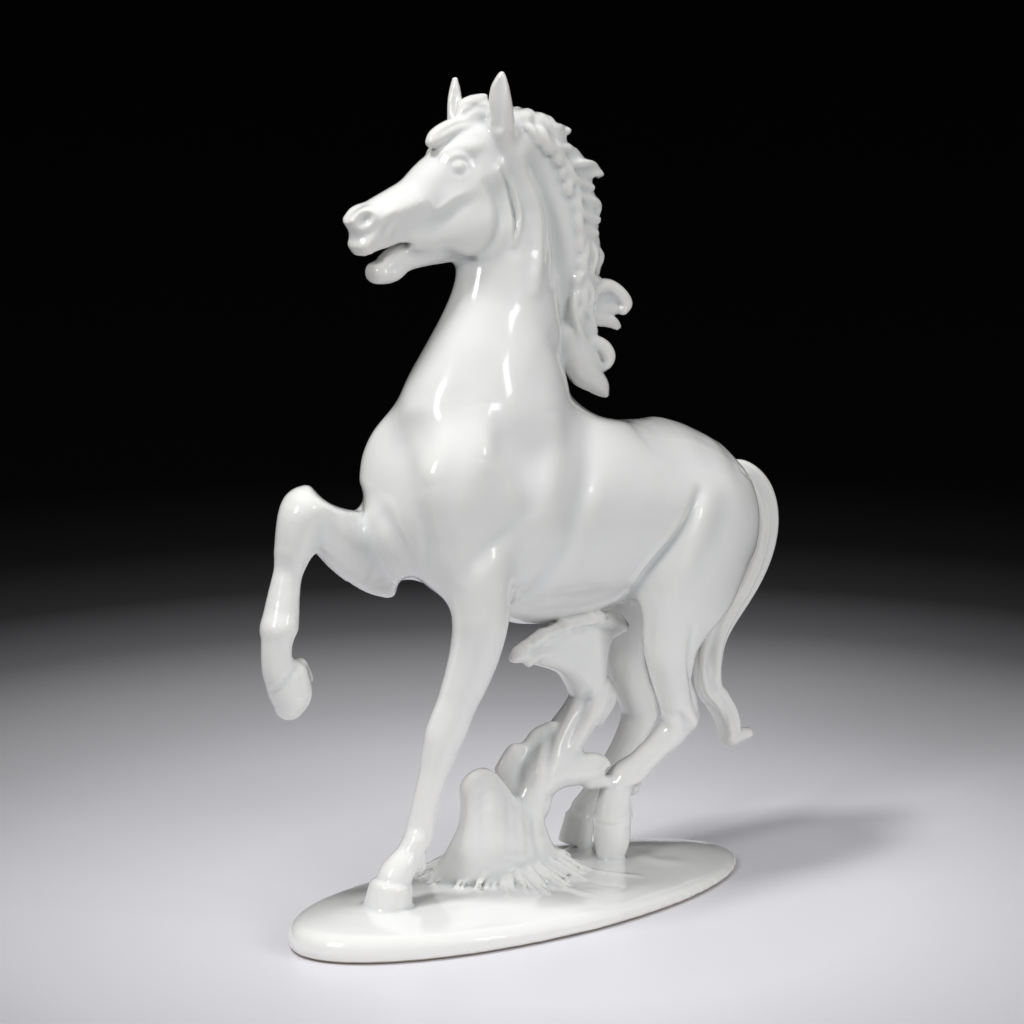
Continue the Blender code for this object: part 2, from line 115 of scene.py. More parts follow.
# Hollow solids that are melted and filled, those that are smoothed most, and those that join them
BODY = ("trunk", "neck", "head")
BROAD = ("trunk", "neck")
LIMBS = ("left_foreleg", "right_foreleg", "left_hindleg", "right_hindleg", "base")


# Camera and pixels

RIGHT = np.array([math.cos(CAMERA_AZIMUTH), math.sin(CAMERA_AZIMUTH), 0.0])
LEVEL = math.cos(CAMERA_ELEVATION)
BACK = np.array([RIGHT[1] * LEVEL, -RIGHT[0] * LEVEL, math.sin(CAMERA_ELEVATION)])
UP = np.cross(BACK, RIGHT)
EYE_POINT = CAMERA_TARGET + BACK * CAMERA_DISTANCE
FOCAL = CAMERA_LENS / CAMERA_SENSOR * IMAGE


def pixel_ray(u, v):
    way = -BACK + RIGHT * (u - IMAGE / 2) / FOCAL + UP * (IMAGE / 2 - v) / FOCAL
    return way / np.linalg.norm(way)


def seen_at(u, v, level, axis=1):
    """The point seen at a pixel that lies at a depth y, or at a height z if the axis is 2."""
    way = pixel_ray(u, v)
    return EYE_POINT + way * (level - EYE_POINT[axis]) / way[axis]


def path(rows):
    """Points with radii, x, y, z and r, from rows of pixel u, pixel v, depth y and radius."""
    return np.array([[*seen_at(u, v, y), r] for u, v, y, r in rows])


def curve(rows, steps=FORM_STEPS):
    """The rows with others filled in between, on a Catmull-Rom curve."""
    rows = np.array(rows, float)
    ends = np.vstack([2 * rows[0] - rows[1], rows, 2 * rows[-1] - rows[-2]])
    t = np.arange(steps)[:, None] / steps
    filled = [
        b + 0.5 * ((c - a) * t + (2 * a - 5 * b + 4 * c - d) * t**2 + (3 * b - a - 3 * c + d) * t**3)
        for a, b, c, d in zip(ends, ends[1:], ends[2:], ends[3:])
    ]
    return np.vstack([*filled, rows[-1:]])


def spread(rows, count):
    """A number of rows evenly along the curve through the given ones."""
    rows = curve(rows, PICK_STEPS)
    return rows[np.linspace(0, len(rows) - 1, count).round().astype(int)]


def vary(k, middle, swing, pace):
    """A value that swings about its middle from one repeat of a form to the next."""
    return middle + swing * math.sin(pace * k)


# Grid of signed distances

def smooth_min(a, b, blend):
    mix = np.clip(0.5 + 0.5 * (b - a) / blend, 0.0, 1.0)
    return b + (a - b) * mix - blend * mix * (1.0 - mix)


def distance_along(grid, start, way):
    """How far the cells of a grid lie from a start in a direction."""
    return sum((c - s) * w for c, s, w in zip(grid, start, way))


class Clay:
    """A block of signed distances, negative inside the porcelain."""

    def __init__(self, low, high, voxel):
        self.voxel = voxel
        self.start = np.floor(np.array(low) / voxel).astype(int)
        size = np.ceil(np.array(high) / voxel).astype(int) - self.start
        self.field = np.full(size, BAND, np.float32)
        self.corner = tuple(int(i) for i in self.start)
        self.scale = openvdb.createLinearTransform(voxelSize=voxel)

    def of_mesh(self, points, faces):
        """The distances to a closed mesh."""
        kind = "quads" if faces.shape[1] == 4 else "triangles"
        grid = openvdb.FloatGrid.createLevelSetFromPolygons(
            points.astype(np.float32), transform=self.scale, halfWidth=BAND / self.voxel,
            **{kind: faces.astype(np.uint32)},
        )
        field = np.empty_like(self.field)
        grid.copyToArray(field, ijk=self.corner)
        return field

    def mesh(self):
        """The points and quads of the surface."""
        grid = openvdb.FloatGrid(BAND)
        grid.transform = self.scale
        grid.copyFromArray(self.field, ijk=self.corner)
        points, quads = grid.convertToQuads(0.0)
        return points.astype(float), quads.astype(int)

    def window(self, low, high):
        """The slices of a box, and the coordinates of its cells."""
        first = np.maximum(np.floor(low / self.voxel).astype(int) - self.start, 0)
        last = np.minimum(np.ceil(high / self.voxel).astype(int) + 1 - self.start, self.field.shape)
        cells = tuple(slice(a, max(a, b)) for a, b in zip(first, last))
        axes = [(np.arange(c.start, c.stop) + s) * self.voxel for c, s in zip(cells, self.start)]
        return cells, np.meshgrid(*axes, indexing="ij", sparse=True)

    def add(self, cells, field, blend):
        self.field[cells] = smooth_min(self.field[cells], field, blend)

    def carve(self, cells, field, blend):
        self.field[cells] = -smooth_min(-self.field[cells], field, blend)

    def chain(self, rows, blend):
        """The distances to a chain of round cones, in the box round it."""
        rows = np.asarray(rows, float)
        reach = blend + FORM_MARGIN
        widest = rows[:, 3].max() + reach
        cells, _ = self.window(rows[:, :3].min(0) - widest, rows[:, :3].max(0) + widest)
        field = np.full([c.stop - c.start for c in cells], BAND, np.float32)
        for a, b in zip(rows, rows[1:]):
            size = max(a[3], b[3]) + reach
            part, grid = self.window(np.minimum(a, b)[:3] - size, np.maximum(a, b)[:3] + size)
            inner = tuple(slice(p.start - c.start, p.stop - c.start) for p, c in zip(part, cells))
            way = b[:3] - a[:3]
            t = np.clip(distance_along(grid, a, way) / (way @ way + TINY), 0.0, 1.0)
            off = sum((c - s - t * w) ** 2 for c, s, w in zip(grid, a, way))
            field[inner] = np.minimum(field[inner], np.sqrt(off) - a[3] - t * (b[3] - a[3]))
        return cells, field

    def add_chain(self, rows, blend):
        self.add(*self.chain(rows, blend), blend)

    def carve_chain(self, rows, blend):
        self.carve(*self.chain(rows, blend), blend)

    def add_frustum(self, ends, edge, blend):
        """A cone cut off square between two ends of x, y, z and r, with rounded edges."""
        a, b = ends
        size = max(a[3], b[3]) + blend + FORM_MARGIN
        cells, grid = self.window(np.minimum(a, b)[:3] - size, np.maximum(a, b)[:3] + size)
        length = np.linalg.norm(b[:3] - a[:3])
        way = (b[:3] - a[:3]) / length
        height = distance_along(grid, a, way)
        off = np.sqrt(sum((c - s) ** 2 for c, s in zip(grid, a)) - height**2)
        side = off - a[3] - np.clip(height / length, 0, 1) * (b[3] - a[3])
        field = -smooth_min(-side, -np.maximum(-height, height - length), edge)
        self.add(cells, field.astype(np.float32), blend)

    def ellipsoid(self, centre, radii, turn, blend):
        """The distances to an ellipsoid whose axes are the columns of a rotation, in the box round it."""
        centre, radii = np.array(centre, float), np.array(radii, float)
        reach = blend + FORM_MARGIN
        cells, grid = self.window(centre - radii.max() - reach, centre + radii.max() + reach)
        near, steep = 0.0, TINY
        for axis, radius in zip(np.array(turn).T, radii):
            share = distance_along(grid, centre, axis) / radius
            near = near + share**2
            steep = steep + (share / radius) ** 2
        near = np.sqrt(near)
        return cells, (near * (near - 1.0) / np.sqrt(steep)).astype(np.float32)

    def ground(self, x, y):
        """The height of the base's top at a place."""
        i, j = (round(c / self.voxel) - start for c, start in zip((x, y), self.start))
        lowest = round(GROUND_BELOW / self.voxel) - self.start[2]
        level = (np.argmax(self.field[i, j, lowest:] > 0) + lowest + self.start[2]) * self.voxel
        return min(level, GROUND_ABOVE)

    def sink(self, points, depth):
        """The points, with those that lie less than a depth inside moved down to it."""
        for _ in range(SINK_ROUNDS):
            cell = np.rint(points / self.voxel).astype(int) - self.start
            cell = np.clip(cell, 1, np.array(self.field.shape) - 2)
            slope = np.stack([
                self.field[tuple((cell + step).T)] - self.field[tuple((cell - step).T)]
                for step in np.eye(3, dtype=int)
            ], axis=1)
            slope = slope / np.maximum(np.linalg.norm(slope, axis=1), TINY)[:, None]
            points = points - slope * np.maximum(self.field[tuple(cell.T)] + depth, 0)[:, None]
        return points


def fill_hollows(field):
    """Fills what is shut in by porcelain along all three axes."""
    shut = np.ones(field.shape, bool)
    inside = field < 0
    for axis in range(3):
        before = np.maximum.accumulate(inside, axis=axis)
        after = np.flip(np.maximum.accumulate(np.flip(inside, axis), axis=axis), axis)
        shut &= before & after
    field[shut] = np.minimum(field[shut], -COARSE / 2)


# Forms along paths of pixels

def add_forms(forms, blend):
    """Round forms with rows of pixel u, pixel v, depth y and radius."""
    for rows in forms:
        clay.add_chain(curve(path(rows)), blend)


def add_sheet(lines, count, blend, twin=False):
    """A sheet of round forms across several lines of rows, and its twin on the mane's other side if asked."""
    for rows in zip(*(spread(line, count) for line in lines)):
        rows = curve(path(rows))
        clay.add_chain(rows, blend)
        if twin:
            clay.add_chain(mirrored(rows), blend)


def mirrored(rows):
    """The same rows on the other side of the mane."""
    other = rows.copy()
    other[:, 1] = 2 * MANE_MIDDLE - other[:, 1]
    return other


# Objects, and meshes as arrays

def add_object(name, data):
    made = bpy.data.objects.new(name, data)
    bpy.context.scene.collection.objects.link(made)
    return made


def solid_arrays(node):
    """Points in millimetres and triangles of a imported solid."""
    mesh = frame["nodes"][node].data
    mesh.calc_loop_triangles()
    points = np.empty(len(mesh.vertices) * 3, np.float32)
    mesh.vertices.foreach_get("co", points)
    faces = np.empty(len(mesh.loop_triangles) * 3, np.int32)
    mesh.loop_triangles.foreach_get("vertices", faces)
    return points.reshape(-1, 3) / MM, faces.reshape(-1, 3)


def quad_edges(quads):
    """The first edges of all quads, then the second, third and fourth ones."""
    return np.vstack([quads[:, [corner, (corner + 1) % 4]] for corner in range(4)])


class Skin:
    """A mesh of quads with its neighbours, for smoothing and pressing."""

    def __init__(self, points, quads):
        self.points = points
        self.quads = quads
        ends = np.unique(np.sort(quad_edges(quads), axis=1), axis=0)
        self.starts = np.r_[ends[:, 0], ends[:, 1]]
        self.ends = np.r_[ends[:, 1], ends[:, 0]]
        self.degree = np.bincount(self.starts, minlength=len(points))

    def around(self, values):
        """The mean of each vertex's neighbours."""
        columns = [
            np.bincount(self.starts, weights=column[self.ends], minlength=len(self.points)) / self.degree
            for column in values.T
        ]
        return np.stack(columns, axis=1)

    def blur(self, values, rounds):
        for _ in range(rounds):
            values = self.around(values)
        return values

    def smooth(self, rounds, steps=TAUBIN, weight=1.0):
        """Taubin smoothing, which keeps the size of the form, or with a single step plain wear."""
        for _ in range(rounds):
            for step in steps:
                self.points = self.points + weight * step * (self.around(self.points) - self.points)

    def normals(self):
        p = self.points[self.quads]
        faces = np.cross(p[:, 2] - p[:, 0], p[:, 3] - p[:, 1])
        total = np.zeros_like(self.points)
        for corner in self.quads.T:
            for axis in range(3):
                total[:, axis] += np.bincount(corner, weights=faces[:, axis], minlength=len(total))
        return total / np.maximum(np.linalg.norm(total, axis=1), TINY)[:, None]

    def tree(self):
        return BVHTree.FromPolygons(self.points.tolist(), self.quads.tolist())


def nearest_solids(places):
    """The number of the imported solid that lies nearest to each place."""
    points, faces = zip(*(solid_arrays(node) for node in nodes))
    starts = np.cumsum([0, *map(len, points)])
    owners = np.repeat(np.arange(len(nodes)), [len(part) for part in faces])
    faces = np.vstack([part + start for part, start in zip(faces, starts)])
    tree = BVHTree.FromPolygons(np.vstack(points).tolist(), faces.tolist())
    return np.array([owners[tree.find_nearest(place)[2]] for place in places.tolist()])


# Body

# The share at which all but the trunk and neck wear down
LIMB_WEAR = 0.06


def melt_body(low, high):
    """The trunk, neck, head, legs and base as one smooth skin."""
    clay = Clay(low, high, COARSE)
    for node in BODY:
        clay.field = smooth_min(clay.field, clay.of_mesh(*solid_arrays(node)), MELT)
    fill_hollows(clay.field)
    for node in LIMBS:
        field = clay.of_mesh(*solid_arrays(node))
        if node in FEET_BELOW:
            level = seen_at(*FEET_BELOW[node])[2]
            field[:, :, : round(level / COARSE) - clay.start[2]] = BAND
        clay.field = smooth_min(clay.field, field, MELT)
    skin = Skin(*clay.mesh())
    skin.smooth(rounds=40)
    broad = np.isin(nearest_solids(skin.points), [nodes.index(node) for node in BROAD])
    weight = skin.blur(np.where(broad, 1.0, LIMB_WEAR)[:, None], rounds=12)
    skin.smooth(rounds=70, steps=WEAR, weight=weight)
    return skin


# Knee and elbow of the raised leg, belly and croup
BODY_FORMS = [
    [(316, 506, 31, 6.4), (303, 513, 31, 7.6), (297, 528, 31, 6.8), (294, 546, 31, 5.2)],
    [(330, 532, 31, 8.0), (355, 556, 31, 8.6), (373, 575, 30, 6.4), (386, 586, 30, 3.8)],
    [(480, 570, 8, 14), (520, 582, 9, 14), (560, 580, 9, 14), (600, 568, 9, 14)],
    [(634, 440, 8, 7.0), (655, 440, 8, 7.2), (680, 448, 8, 7.2), (702, 460, 8, 7.0)],
    [(638, 455, 1, 9.0), (666, 456, 1, 9.5), (694, 468, 2, 9.0)],
]
# Dips of the back behind the mane, of the raised forearm and between the forelegs, and the depths they
# run through
BODY_DIPS = [
    ([(588, 392, 3.6), (602, 401, 4.2), (620, 403, 4.2), (640, 402, 3.6)], range(-8, 40, 4)),
    ([(324, 484, 2.8), (330, 488, 3.4), (341, 493, 3.4), (350, 496, 3.0)], range(22, 42, 4)),
    ([(411, 589, 3.8), (419, 599, 4.2), (431, 608, 4.2), (444, 618, 4.0)], range(0, 32, 4)),
]


def trim_body():
    add_forms(BODY_FORMS, blend=7.0)
    for rows, depths in BODY_DIPS:
        for y in depths:
            clay.carve_chain(curve(path([(u, v, y, r) for u, v, r in rows]), steps=3), blend=4.5)


# Hair

# Offset and size of the strands of a lock and size of its core, as shares of the radius of the lock
STRAND_OFFSET = 0.58
STRAND_SIZE = 0.44
CORE_SIZE = 0.6
# Depth y of the plane between the two sides of the mane
MANE_MIDDLE = 12.0
CREST = [
    (505, 135, 14, 7.5), (525, 150, 13.5, 8), (543, 175, 13, 8), (553, 205, 12.5, 8), (559, 235, 12, 8),
    (563, 265, 11.5, 7.4), (567, 300, 11, 6.6), (573, 335, 10.5, 6.4), (582, 368, 10, 6.4),
]
# The line where the mane rises from the neck, and its outer edge, as pixels from the ear down
MANE_ROOT = [
    (516, 126), (536, 136), (550, 154), (558, 172), (565, 190), (568, 207), (572, 225), (576, 250),
    (575, 272), (572, 297), (571, 317), (574, 338),
]
MANE_EDGE = [
    (530, 114), (556, 127), (566, 150), (588, 168), (590, 190), (596, 211), (594, 234), (598, 258),
    (595, 280), (593, 300), (592, 322), (592, 340),
]
# Depth y and radius of the root line
ROOT_SIZE = (9.6, 2.6)
# Lines of the mane's sheet: share of the way from root to edge, depth y and radius
MANE_SHEET = [(0.1, 9.5, 2.6), (0.5, 8.0, 3.2), (0.84, 8.8, 2.6)]
MANE_FILL = [(508, 124, 13, 5.0), (522, 122, 12, 4.4), (538, 128, 11.5, 4.0), (552, 140, 11, 3.6)]
# Where the lowest lock meets the neck
LOCK_FILL = [(564, 336, 6.5, 4.0), (569, 354, 6, 4.4), (578, 371, 6, 4.0), (589, 382, 7, 2.8)]
# Rows of a tuft: shares of its way and of its sway to the side, depth y, and share of its size
TUFT = [(0.0, 0.0, 7.6, 0.8), (0.3, -1.0, 5.2, 1.0), (0.65, 1.0, 4.5, 1.0), (1.0, -1.0, 6.2, 0.7)]
TUFTS = 26
# Middle, swing and pace of what varies from tuft to tuft
TUFT_SWAY = (3.4, 1.6, 2.4)
TUFT_SIZE = (1.9, 0.5, 1.7)
TUFT_REACH = (0.75, 0.25, 2.9)
# Picked places that stay free at the lower ends of root and edge, and how many a tuft slants down
ROOT_REST = 8
EDGE_REST = 10
TUFT_SLANT = 24
MANE_TIPS = [
    [(530, 124, 10, 3.6), (546, 126, 9, 3.6), (558, 131, 9, 2.6), (568, 131, 9, 1.4)],
    [(552, 150, 8, 4.0), (572, 160, 7.5, 4.4), (588, 168, 8, 3.4), (600, 174, 8, 1.7)],
    [(570, 182, 8, 3.6), (584, 194, 7.5, 3.6), (594, 204, 8, 2.6), (596, 213, 8, 1.7)],
    [(574, 232, 8, 3.4), (588, 244, 7.5, 3.4), (597, 255, 8, 2.6), (598, 264, 8, 1.7)],
    [
        (579, 250, 7, 2.4), (575, 272, 6, 3.0), (578, 288, 5.2, 2.8), (574, 304, 5, 3.0),
        (574, 322, 4.8, 2.8), (578, 338, 5, 3.0), (588, 351, 5, 2.6), (596, 361, 5.5, 1.9),
    ],
    [
        (582, 240, 7.5, 2.4), (590, 256, 6.4, 3.2), (585, 274, 5.8, 3.2), (590, 292, 5.8, 3.2),
        (586, 310, 5.8, 3.0), (590, 326, 6, 2.6), (589, 337, 6, 1.6),
    ],
]
UPPER_LEAF = [
    [
        (586, 296, 8, 3.4), (598, 287, 8, 3.0), (610, 286, 7.5, 2.6), (620, 293, 7, 2.4),
        (626, 303, 7, 2.2), (623, 310, 7, 1.8),
    ],
    [(588, 300, 10.5, 3.4), (602, 296, 10.5, 3.2), (616, 299, 10, 2.6)],
    [(586, 310, 10.5, 3.6), (602, 308, 10.5, 3.4), (618, 307, 10, 2.4)],
    [(586, 317, 9.5, 3.2), (602, 319, 9, 2.6), (612, 322, 9, 2.0), (617, 326, 9, 1.3)],
]
LOWER_LEAF = [
    [
        (582, 340, 7, 3.2), (593, 342, 6.5, 2.8), (603, 347, 6, 2.5), (608, 356, 6, 2.4),
        (606, 364, 6.5, 2.0), (599, 366, 7.5, 2.0),
    ],
    [(586, 352, 10, 3.8), (601, 356, 10, 3.2)],
    [(588, 364, 9.5, 3.6), (602, 365, 10, 2.6)],
    [
        (570, 340, 8, 5.4), (578, 360, 7.5, 5.6), (588, 375, 7.5, 5.0), (598, 385, 7.5, 3.8),
        (605, 394, 8, 1.6),
    ],
]
FORELOCK = [
    [
        (490, 120, 13, 3.0), (472, 123, 15, 3.2), (458, 126, 16, 3.3), (446, 131, 17, 3.3),
        (437, 137, 17.5, 3.1), (432, 142, 17.5, 2.2),
    ],
    [
        (458, 112, 19, 1.8), (463, 107, 18, 2.4), (470, 103, 17, 2.6), (478, 100, 16, 2.3),
        (484, 97, 15, 1.5),
    ],
    [(494, 112, 12, 2.6), (482, 107, 14, 2.8), (470, 109, 16, 2.8), (462, 115, 17, 2.2)],
    [(494, 118, 12, 3.2), (480, 115, 14, 3.2), (468, 117, 16, 2.8)],
]
POLL_FORM = [(503, 146, 14, 9.5), (488, 138, 14.5, 8.5), (466, 146, 16, 7.6), (450, 158, 17, 7.0)]
TAIL = [
    (722, 476, 11, 5.0), (740, 475, 12, 6.0), (755, 492, 12.5, 6.6), (760, 518, 12.5, 6.8),
    (756, 546, 12.5, 6.8), (743, 578, 12, 6.4), (726, 608, 11, 6.0), (713, 636, 10, 5.6),
    (708, 662, 10, 5.6), (709, 686, 10, 5.2), (718, 700, 9.5, 5.0), (726, 715, 9, 4.8), (729, 730, 9, 4.2),
    (727, 740, 9, 2.8),
]
TAIL_TIP = [[(731, 738, 8, 2.8), (741, 734, 8, 2.4), (748, 733, 8, 2.0)]]


def add_lock(rows, strands, turns):
    """A lock of hair as strands that wind round its path."""
    rows = curve(rows, steps=6)
    ways = np.gradient(rows[:, :3], axis=0)
    ways /= np.linalg.norm(ways, axis=1)[:, None]
    sides = np.cross(ways, BACK)
    sides /= np.linalg.norm(sides, axis=1)[:, None]
    fronts = np.cross(sides, ways)
    share = np.linspace(0, 1, len(rows))[:, None]
    for k in range(strands):
        turn = 2 * math.pi * (k / strands + turns * share)
        strand = rows.copy()
        strand[:, :3] += STRAND_OFFSET * rows[:, 3:] * (np.cos(turn) * sides + np.sin(turn) * fronts)
        strand[:, 3] *= STRAND_SIZE
        clay.add_chain(strand, blend=0.9)
    core = rows.copy()
    core[:, 3] *= CORE_SIZE
    clay.add_chain(core, blend=0.9)


def add_tufts():
    """Short curls that sweep from the root line of the mane to its outer edge, on both sides."""
    root = curve(MANE_ROOT, PICK_STEPS)
    edge = curve(MANE_EDGE, PICK_STEPS)
    for k in range(TUFTS):
        start = root[round(k / TUFTS * (len(root) - ROOT_REST))]
        end = edge[min(round(k / TUFTS * (len(edge) - EDGE_REST)) + TUFT_SLANT, len(edge) - 1)]
        way = end - start
        side = np.array([-way[1], way[0]]) / np.hypot(*way)
        sway, size, reach = (vary(k, *change) for change in (TUFT_SWAY, TUFT_SIZE, TUFT_REACH))
        rows = path([
            (*(start + along * reach * way + aside * sway * side), y, share * size)
            for along, aside, y, share in TUFT
        ])
        for side_rows in (rows, mirrored(rows)):
            clay.add_chain(curve(side_rows, steps=5), blend=0.5)


def make_hair():
    add_forms([CREST, POLL_FORM], blend=6.0)
    root, edge = np.array(MANE_ROOT, float), np.array(MANE_EDGE, float)
    lines = [
        np.column_stack([root + share * (edge - root), np.full((len(root), 2), (y, r))])
        for share, y, r in MANE_SHEET
    ]
    add_sheet(lines, count=30, blend=1.5, twin=True)
    roots = path([(*pixel, *ROOT_SIZE) for pixel in MANE_ROOT])
    for rows in (roots, mirrored(roots), path(MANE_FILL), path(LOCK_FILL)):
        clay.add_chain(curve(rows), blend=2.5)
    add_tufts()
    for rows in MANE_TIPS:
        rows = path(rows)
        add_lock(rows, strands=3, turns=0.6)
        add_lock(mirrored(rows), strands=3, turns=-0.6)
    add_forms([*UPPER_LEAF, *LOWER_LEAF], blend=0.8)
    add_forms(FORELOCK, blend=1.2)
    add_lock(path(TAIL), strands=5, turns=0.3)
    add_forms(TAIL_TIP, blend=1.2)


# Ears

LEFT_EAR = [
    (506, 150, 7, 3.0), (503, 130, 6.5, 4.3), (501, 108, 5.5, 4.2), (500, 92, 5, 3.7), (501, 81, 4.5, 2.5),
    (502, 73, 4, 1.1),
]
LEFT_SCOOP = [(497, 128, 2.4, 3.4), (496, 108, 0.7, 5.0), (497, 94, 0.7, 4.5), (500, 81, 1.4, 2.6)]
RIGHT_EAR = [
    (455, 140, 21.5, 2.6), (456, 120, 22, 3.0), (455, 102, 23, 2.6), (455, 88, 24, 1.8), (455, 79, 24, 1.0),
]
RIGHT_SCOOP = [(453, 118, 19.6, 1.2), (455, 104, 20.6, 1.6), (455, 92, 22.0, 0.9)]


def make_ears():
    for ear, scoop in ((LEFT_EAR, LEFT_SCOOP), (RIGHT_EAR, RIGHT_SCOOP)):
        clay.add_chain(curve(path(ear)), blend=2.0)
        clay.carve_chain(curve(path(scoop)), blend=0.8)


# Face

HEAD_AXES = np.array(Euler((0.0, -HEAD_PITCH, -HEAD_TURN)).to_matrix())
# Rows are a pixel and a radius.
PROFILE = [
    (452, 172, 6.8), (433, 178, 6.4), (416, 196, 6.4), (399, 206, 6.2), (379, 215, 5.4), (360, 224, 4.2),
    (352, 224, 2.6),
]
UPPER_LIP = [
    (365, 239, 2.8), (364, 246, 2.6), (366, 252, 1.9), (376, 246, 2.2), (388, 241, 2.4), (402, 237, 2.4),
]
LOWER_LIP = [(378, 271, 1.6), (386, 267, 1.5), (394, 263, 1.6), (403, 257, 2.0), (410, 250, 2.0)]
CHEEK = [(412, 240, 4.0), (430, 238, 5.5), (448, 232, 7.0), (466, 222, 8.0)]
UNDER_NOSE = [(334, 228, 2.0), (337, 238, 4.0), (338, 250, 2.6)]
JAW = [
    (375, 272, 2.1), (383, 275, 2.6), (392, 272, 2.8), (402, 262, 3.2), (420, 255, 3.9), (445, 245, 5.8),
    (466, 232, 8.2),
]
MOUTH = [
    (350, 268, 2.6), (366, 260, 1.6), (377, 254, 1.5), (388, 251, 1.7), (397, 248, 2.0), (404, 246, 1.6),
]
TONGUE = [(387, 261, 1.3), (394, 256, 1.8), (403, 251, 2.4)]
# The near side of the lips and of the jaw, and how fast the muzzle falls back at its sides
LIP_SIDE = -3.4
JAW_SIDE = -2.5
MUZZLE_ROUND = 0.1
FACE = [
    # add or carve, pixel u and v, height over the skin, half sizes along, up and out, tilt, blend
    ("add", 474, 218, -2.8, (12.0, 14.0, 4.4), 0, 3.5),
    ("carve", 458, 167, 3.0, (5.4, 4.6, 3.0), 0, 2.2),
    ("add", 459, 166, -2.0, (3.2, 3.0, 2.7), 0, 0.9),
    ("add", 462, 150, -1.7, (7.0, 2.4, 2.2), -12, 2.0),
    ("add", 367, 220, -2.8, (4.8, 3.8, 3.2), 10, 2.0),
    ("carve", 364, 220, 0.9, (3.4, 2.1, 2.4), 12, 2.0),
    ("add", 390, 213, -1.4, (3.6, 1.5, 1.9), 0, 1.2),
    ("add", 385, 276, -3.0, (3.8, 2.6, 3.4), 0, 2.0),
]


def head_path(rows, side, seen=0.0, set_back=0.0):
    """Points with radii, from rows of a pixel and a radius.

    The pixels are seen on a plane beside the head's middle, and the points lie on another one, set back
    with the square of its distance from the middle.
    """
    backward, across = HEAD_AXES[:, 0], HEAD_AXES[:, 1]
    made = []
    for u, v, r in rows:
        way = pixel_ray(u, v)
        place = EYE_POINT + way * ((POLL + across * seen - EYE_POINT) @ across) / (way @ across)
        made.append([*(place + across * (side - seen) + backward * set_back * side**2), r])
    return curve(made)


def on_skin(tree, u, v):
    """The place and the outward direction of the skin at a pixel, or none where the pixel is beside it."""
    place, out, _, _ = tree.ray_cast(Vector(EYE_POINT), Vector(pixel_ray(u, v)))
    return None if place is None else (np.array(place), np.array(out))


def mirror_head(values, origin=POLL):
    """A place, or a direction if the origin is zero, on the other side of the head."""
    local = HEAD_AXES.T @ (values - origin)
    local[1] *= -1
    return HEAD_AXES @ local + origin


def add_face_form(tree, mode, u, v, height, radii, tilt, blend):
    """An ellipsoid set into the skin of the head at a pixel, and its twin on the other side."""
    place, out = on_skin(tree, u, v)
    along = HEAD_AXES[:, 0] - out * (HEAD_AXES[:, 0] @ out)
    along /= np.linalg.norm(along)
    up = np.cross(out, along)
    turn = math.radians(tilt)
    along, up = along * math.cos(turn) + up * math.sin(turn), up * math.cos(turn) - along * math.sin(turn)
    centre = place + out * height
    axes = (along, up, out)
    twin_axes = [mirror_head(axis, origin=0.0) for axis in axes]
    work = clay.add if mode == "add" else clay.carve
    work(*clay.ellipsoid(centre, radii, np.array(axes).T, blend), blend)
    work(*clay.ellipsoid(mirror_head(centre), radii, np.array(twin_axes).T, blend), blend)


def make_face():
    for side in (-2.0, 2.0):
        clay.add_chain(head_path(PROFILE, side), blend=3.0)
        clay.add_chain(head_path(JAW, side), blend=2.0)
    for side in (-4.0, 0.0, 4.0):
        clay.add_chain(head_path(CHEEK, side, LIP_SIDE), blend=3.0)
    for share in (-1.0, -0.6, -0.2, 0.2, 0.6, 1.0):
        clay.add_chain(head_path(UPPER_LIP, share * LIP_SIDE, LIP_SIDE, MUZZLE_ROUND), blend=1.5)
        clay.add_chain(head_path(LOWER_LIP, share * JAW_SIDE, JAW_SIDE, MUZZLE_ROUND), blend=1.2)
    for side in np.arange(-10.5, 11.0, 1.5):
        clay.carve_chain(head_path(UNDER_NOSE, side, set_back=MUZZLE_ROUND), blend=1.6)
    for side in np.arange(-7.5, 8.0, 1.5):
        clay.carve_chain(head_path(MOUTH, side, LIP_SIDE), blend=0.6)
    for side in (-1.5, 0.0, 1.5):
        clay.add_chain(head_path(TONGUE, side, JAW_SIDE), blend=0.8)
    tree = Skin(*clay.mesh()).tree()
    for form in FACE:
        add_face_form(tree, *form)


# Feet

FEET = [
    # left fore pastern and fetlock
    [
        (416, 842, -4, 4.2), (409, 855, -3, 4.9), (402, 865, -3, 5.6), (395, 876, -2.5, 6.2),
        (392, 888, -2.5, 6.2),
    ],
    [(416, 858, -3, 3.8), (418, 865, -2.5, 3.0)],
    # right fore pastern, hoof and heel
    [(279, 630, 30, 6.2), (277, 650, 30, 5.5), (279, 670, 30, 6.0), (285, 688, 30, 6.4)],
    [(290, 676, 30, 6.6), (291, 692, 30, 7.3), (289, 705, 30, 5.4)],
    [(300, 665, 31, 2.8), (304, 677, 31, 3.2)],
    # left hind fetlock, pastern and hoof
    [
        (640, 766, -2, 5.2), (626, 774, -2, 5.4), (618, 786, -2, 5.6), (614, 802, -2, 6.1),
        (612, 816, -2, 6.6),
    ],
    [(629, 778, -2, 4.4), (631, 786, -2, 3.6)],
    [(622, 806, -2, 3.8), (626, 815, -2, 2.8)],
    [(612, 822, -2, 6.7), (612, 836, -2, 6.8), (611, 849, -1.5, 5.6), (611, 857, -1.5, 3.6)],
    # right hind pastern
    [(606, 790, 21, 5.0), (594, 800, 22, 5.0), (584, 812, 22, 5.2)],
]
# Rows are the middle of the upper end and of the lower end, as pixel u, pixel v, depth y and radius.
HOOVES = [
    [(392, 881, -2.5, 7.4), (387, 913, -2.0, 9.0)],
    [(581, 813, 22.0, 5.4), (574, 844, 22.0, 6.4)],
]
HOOF_EDGE = 1.6
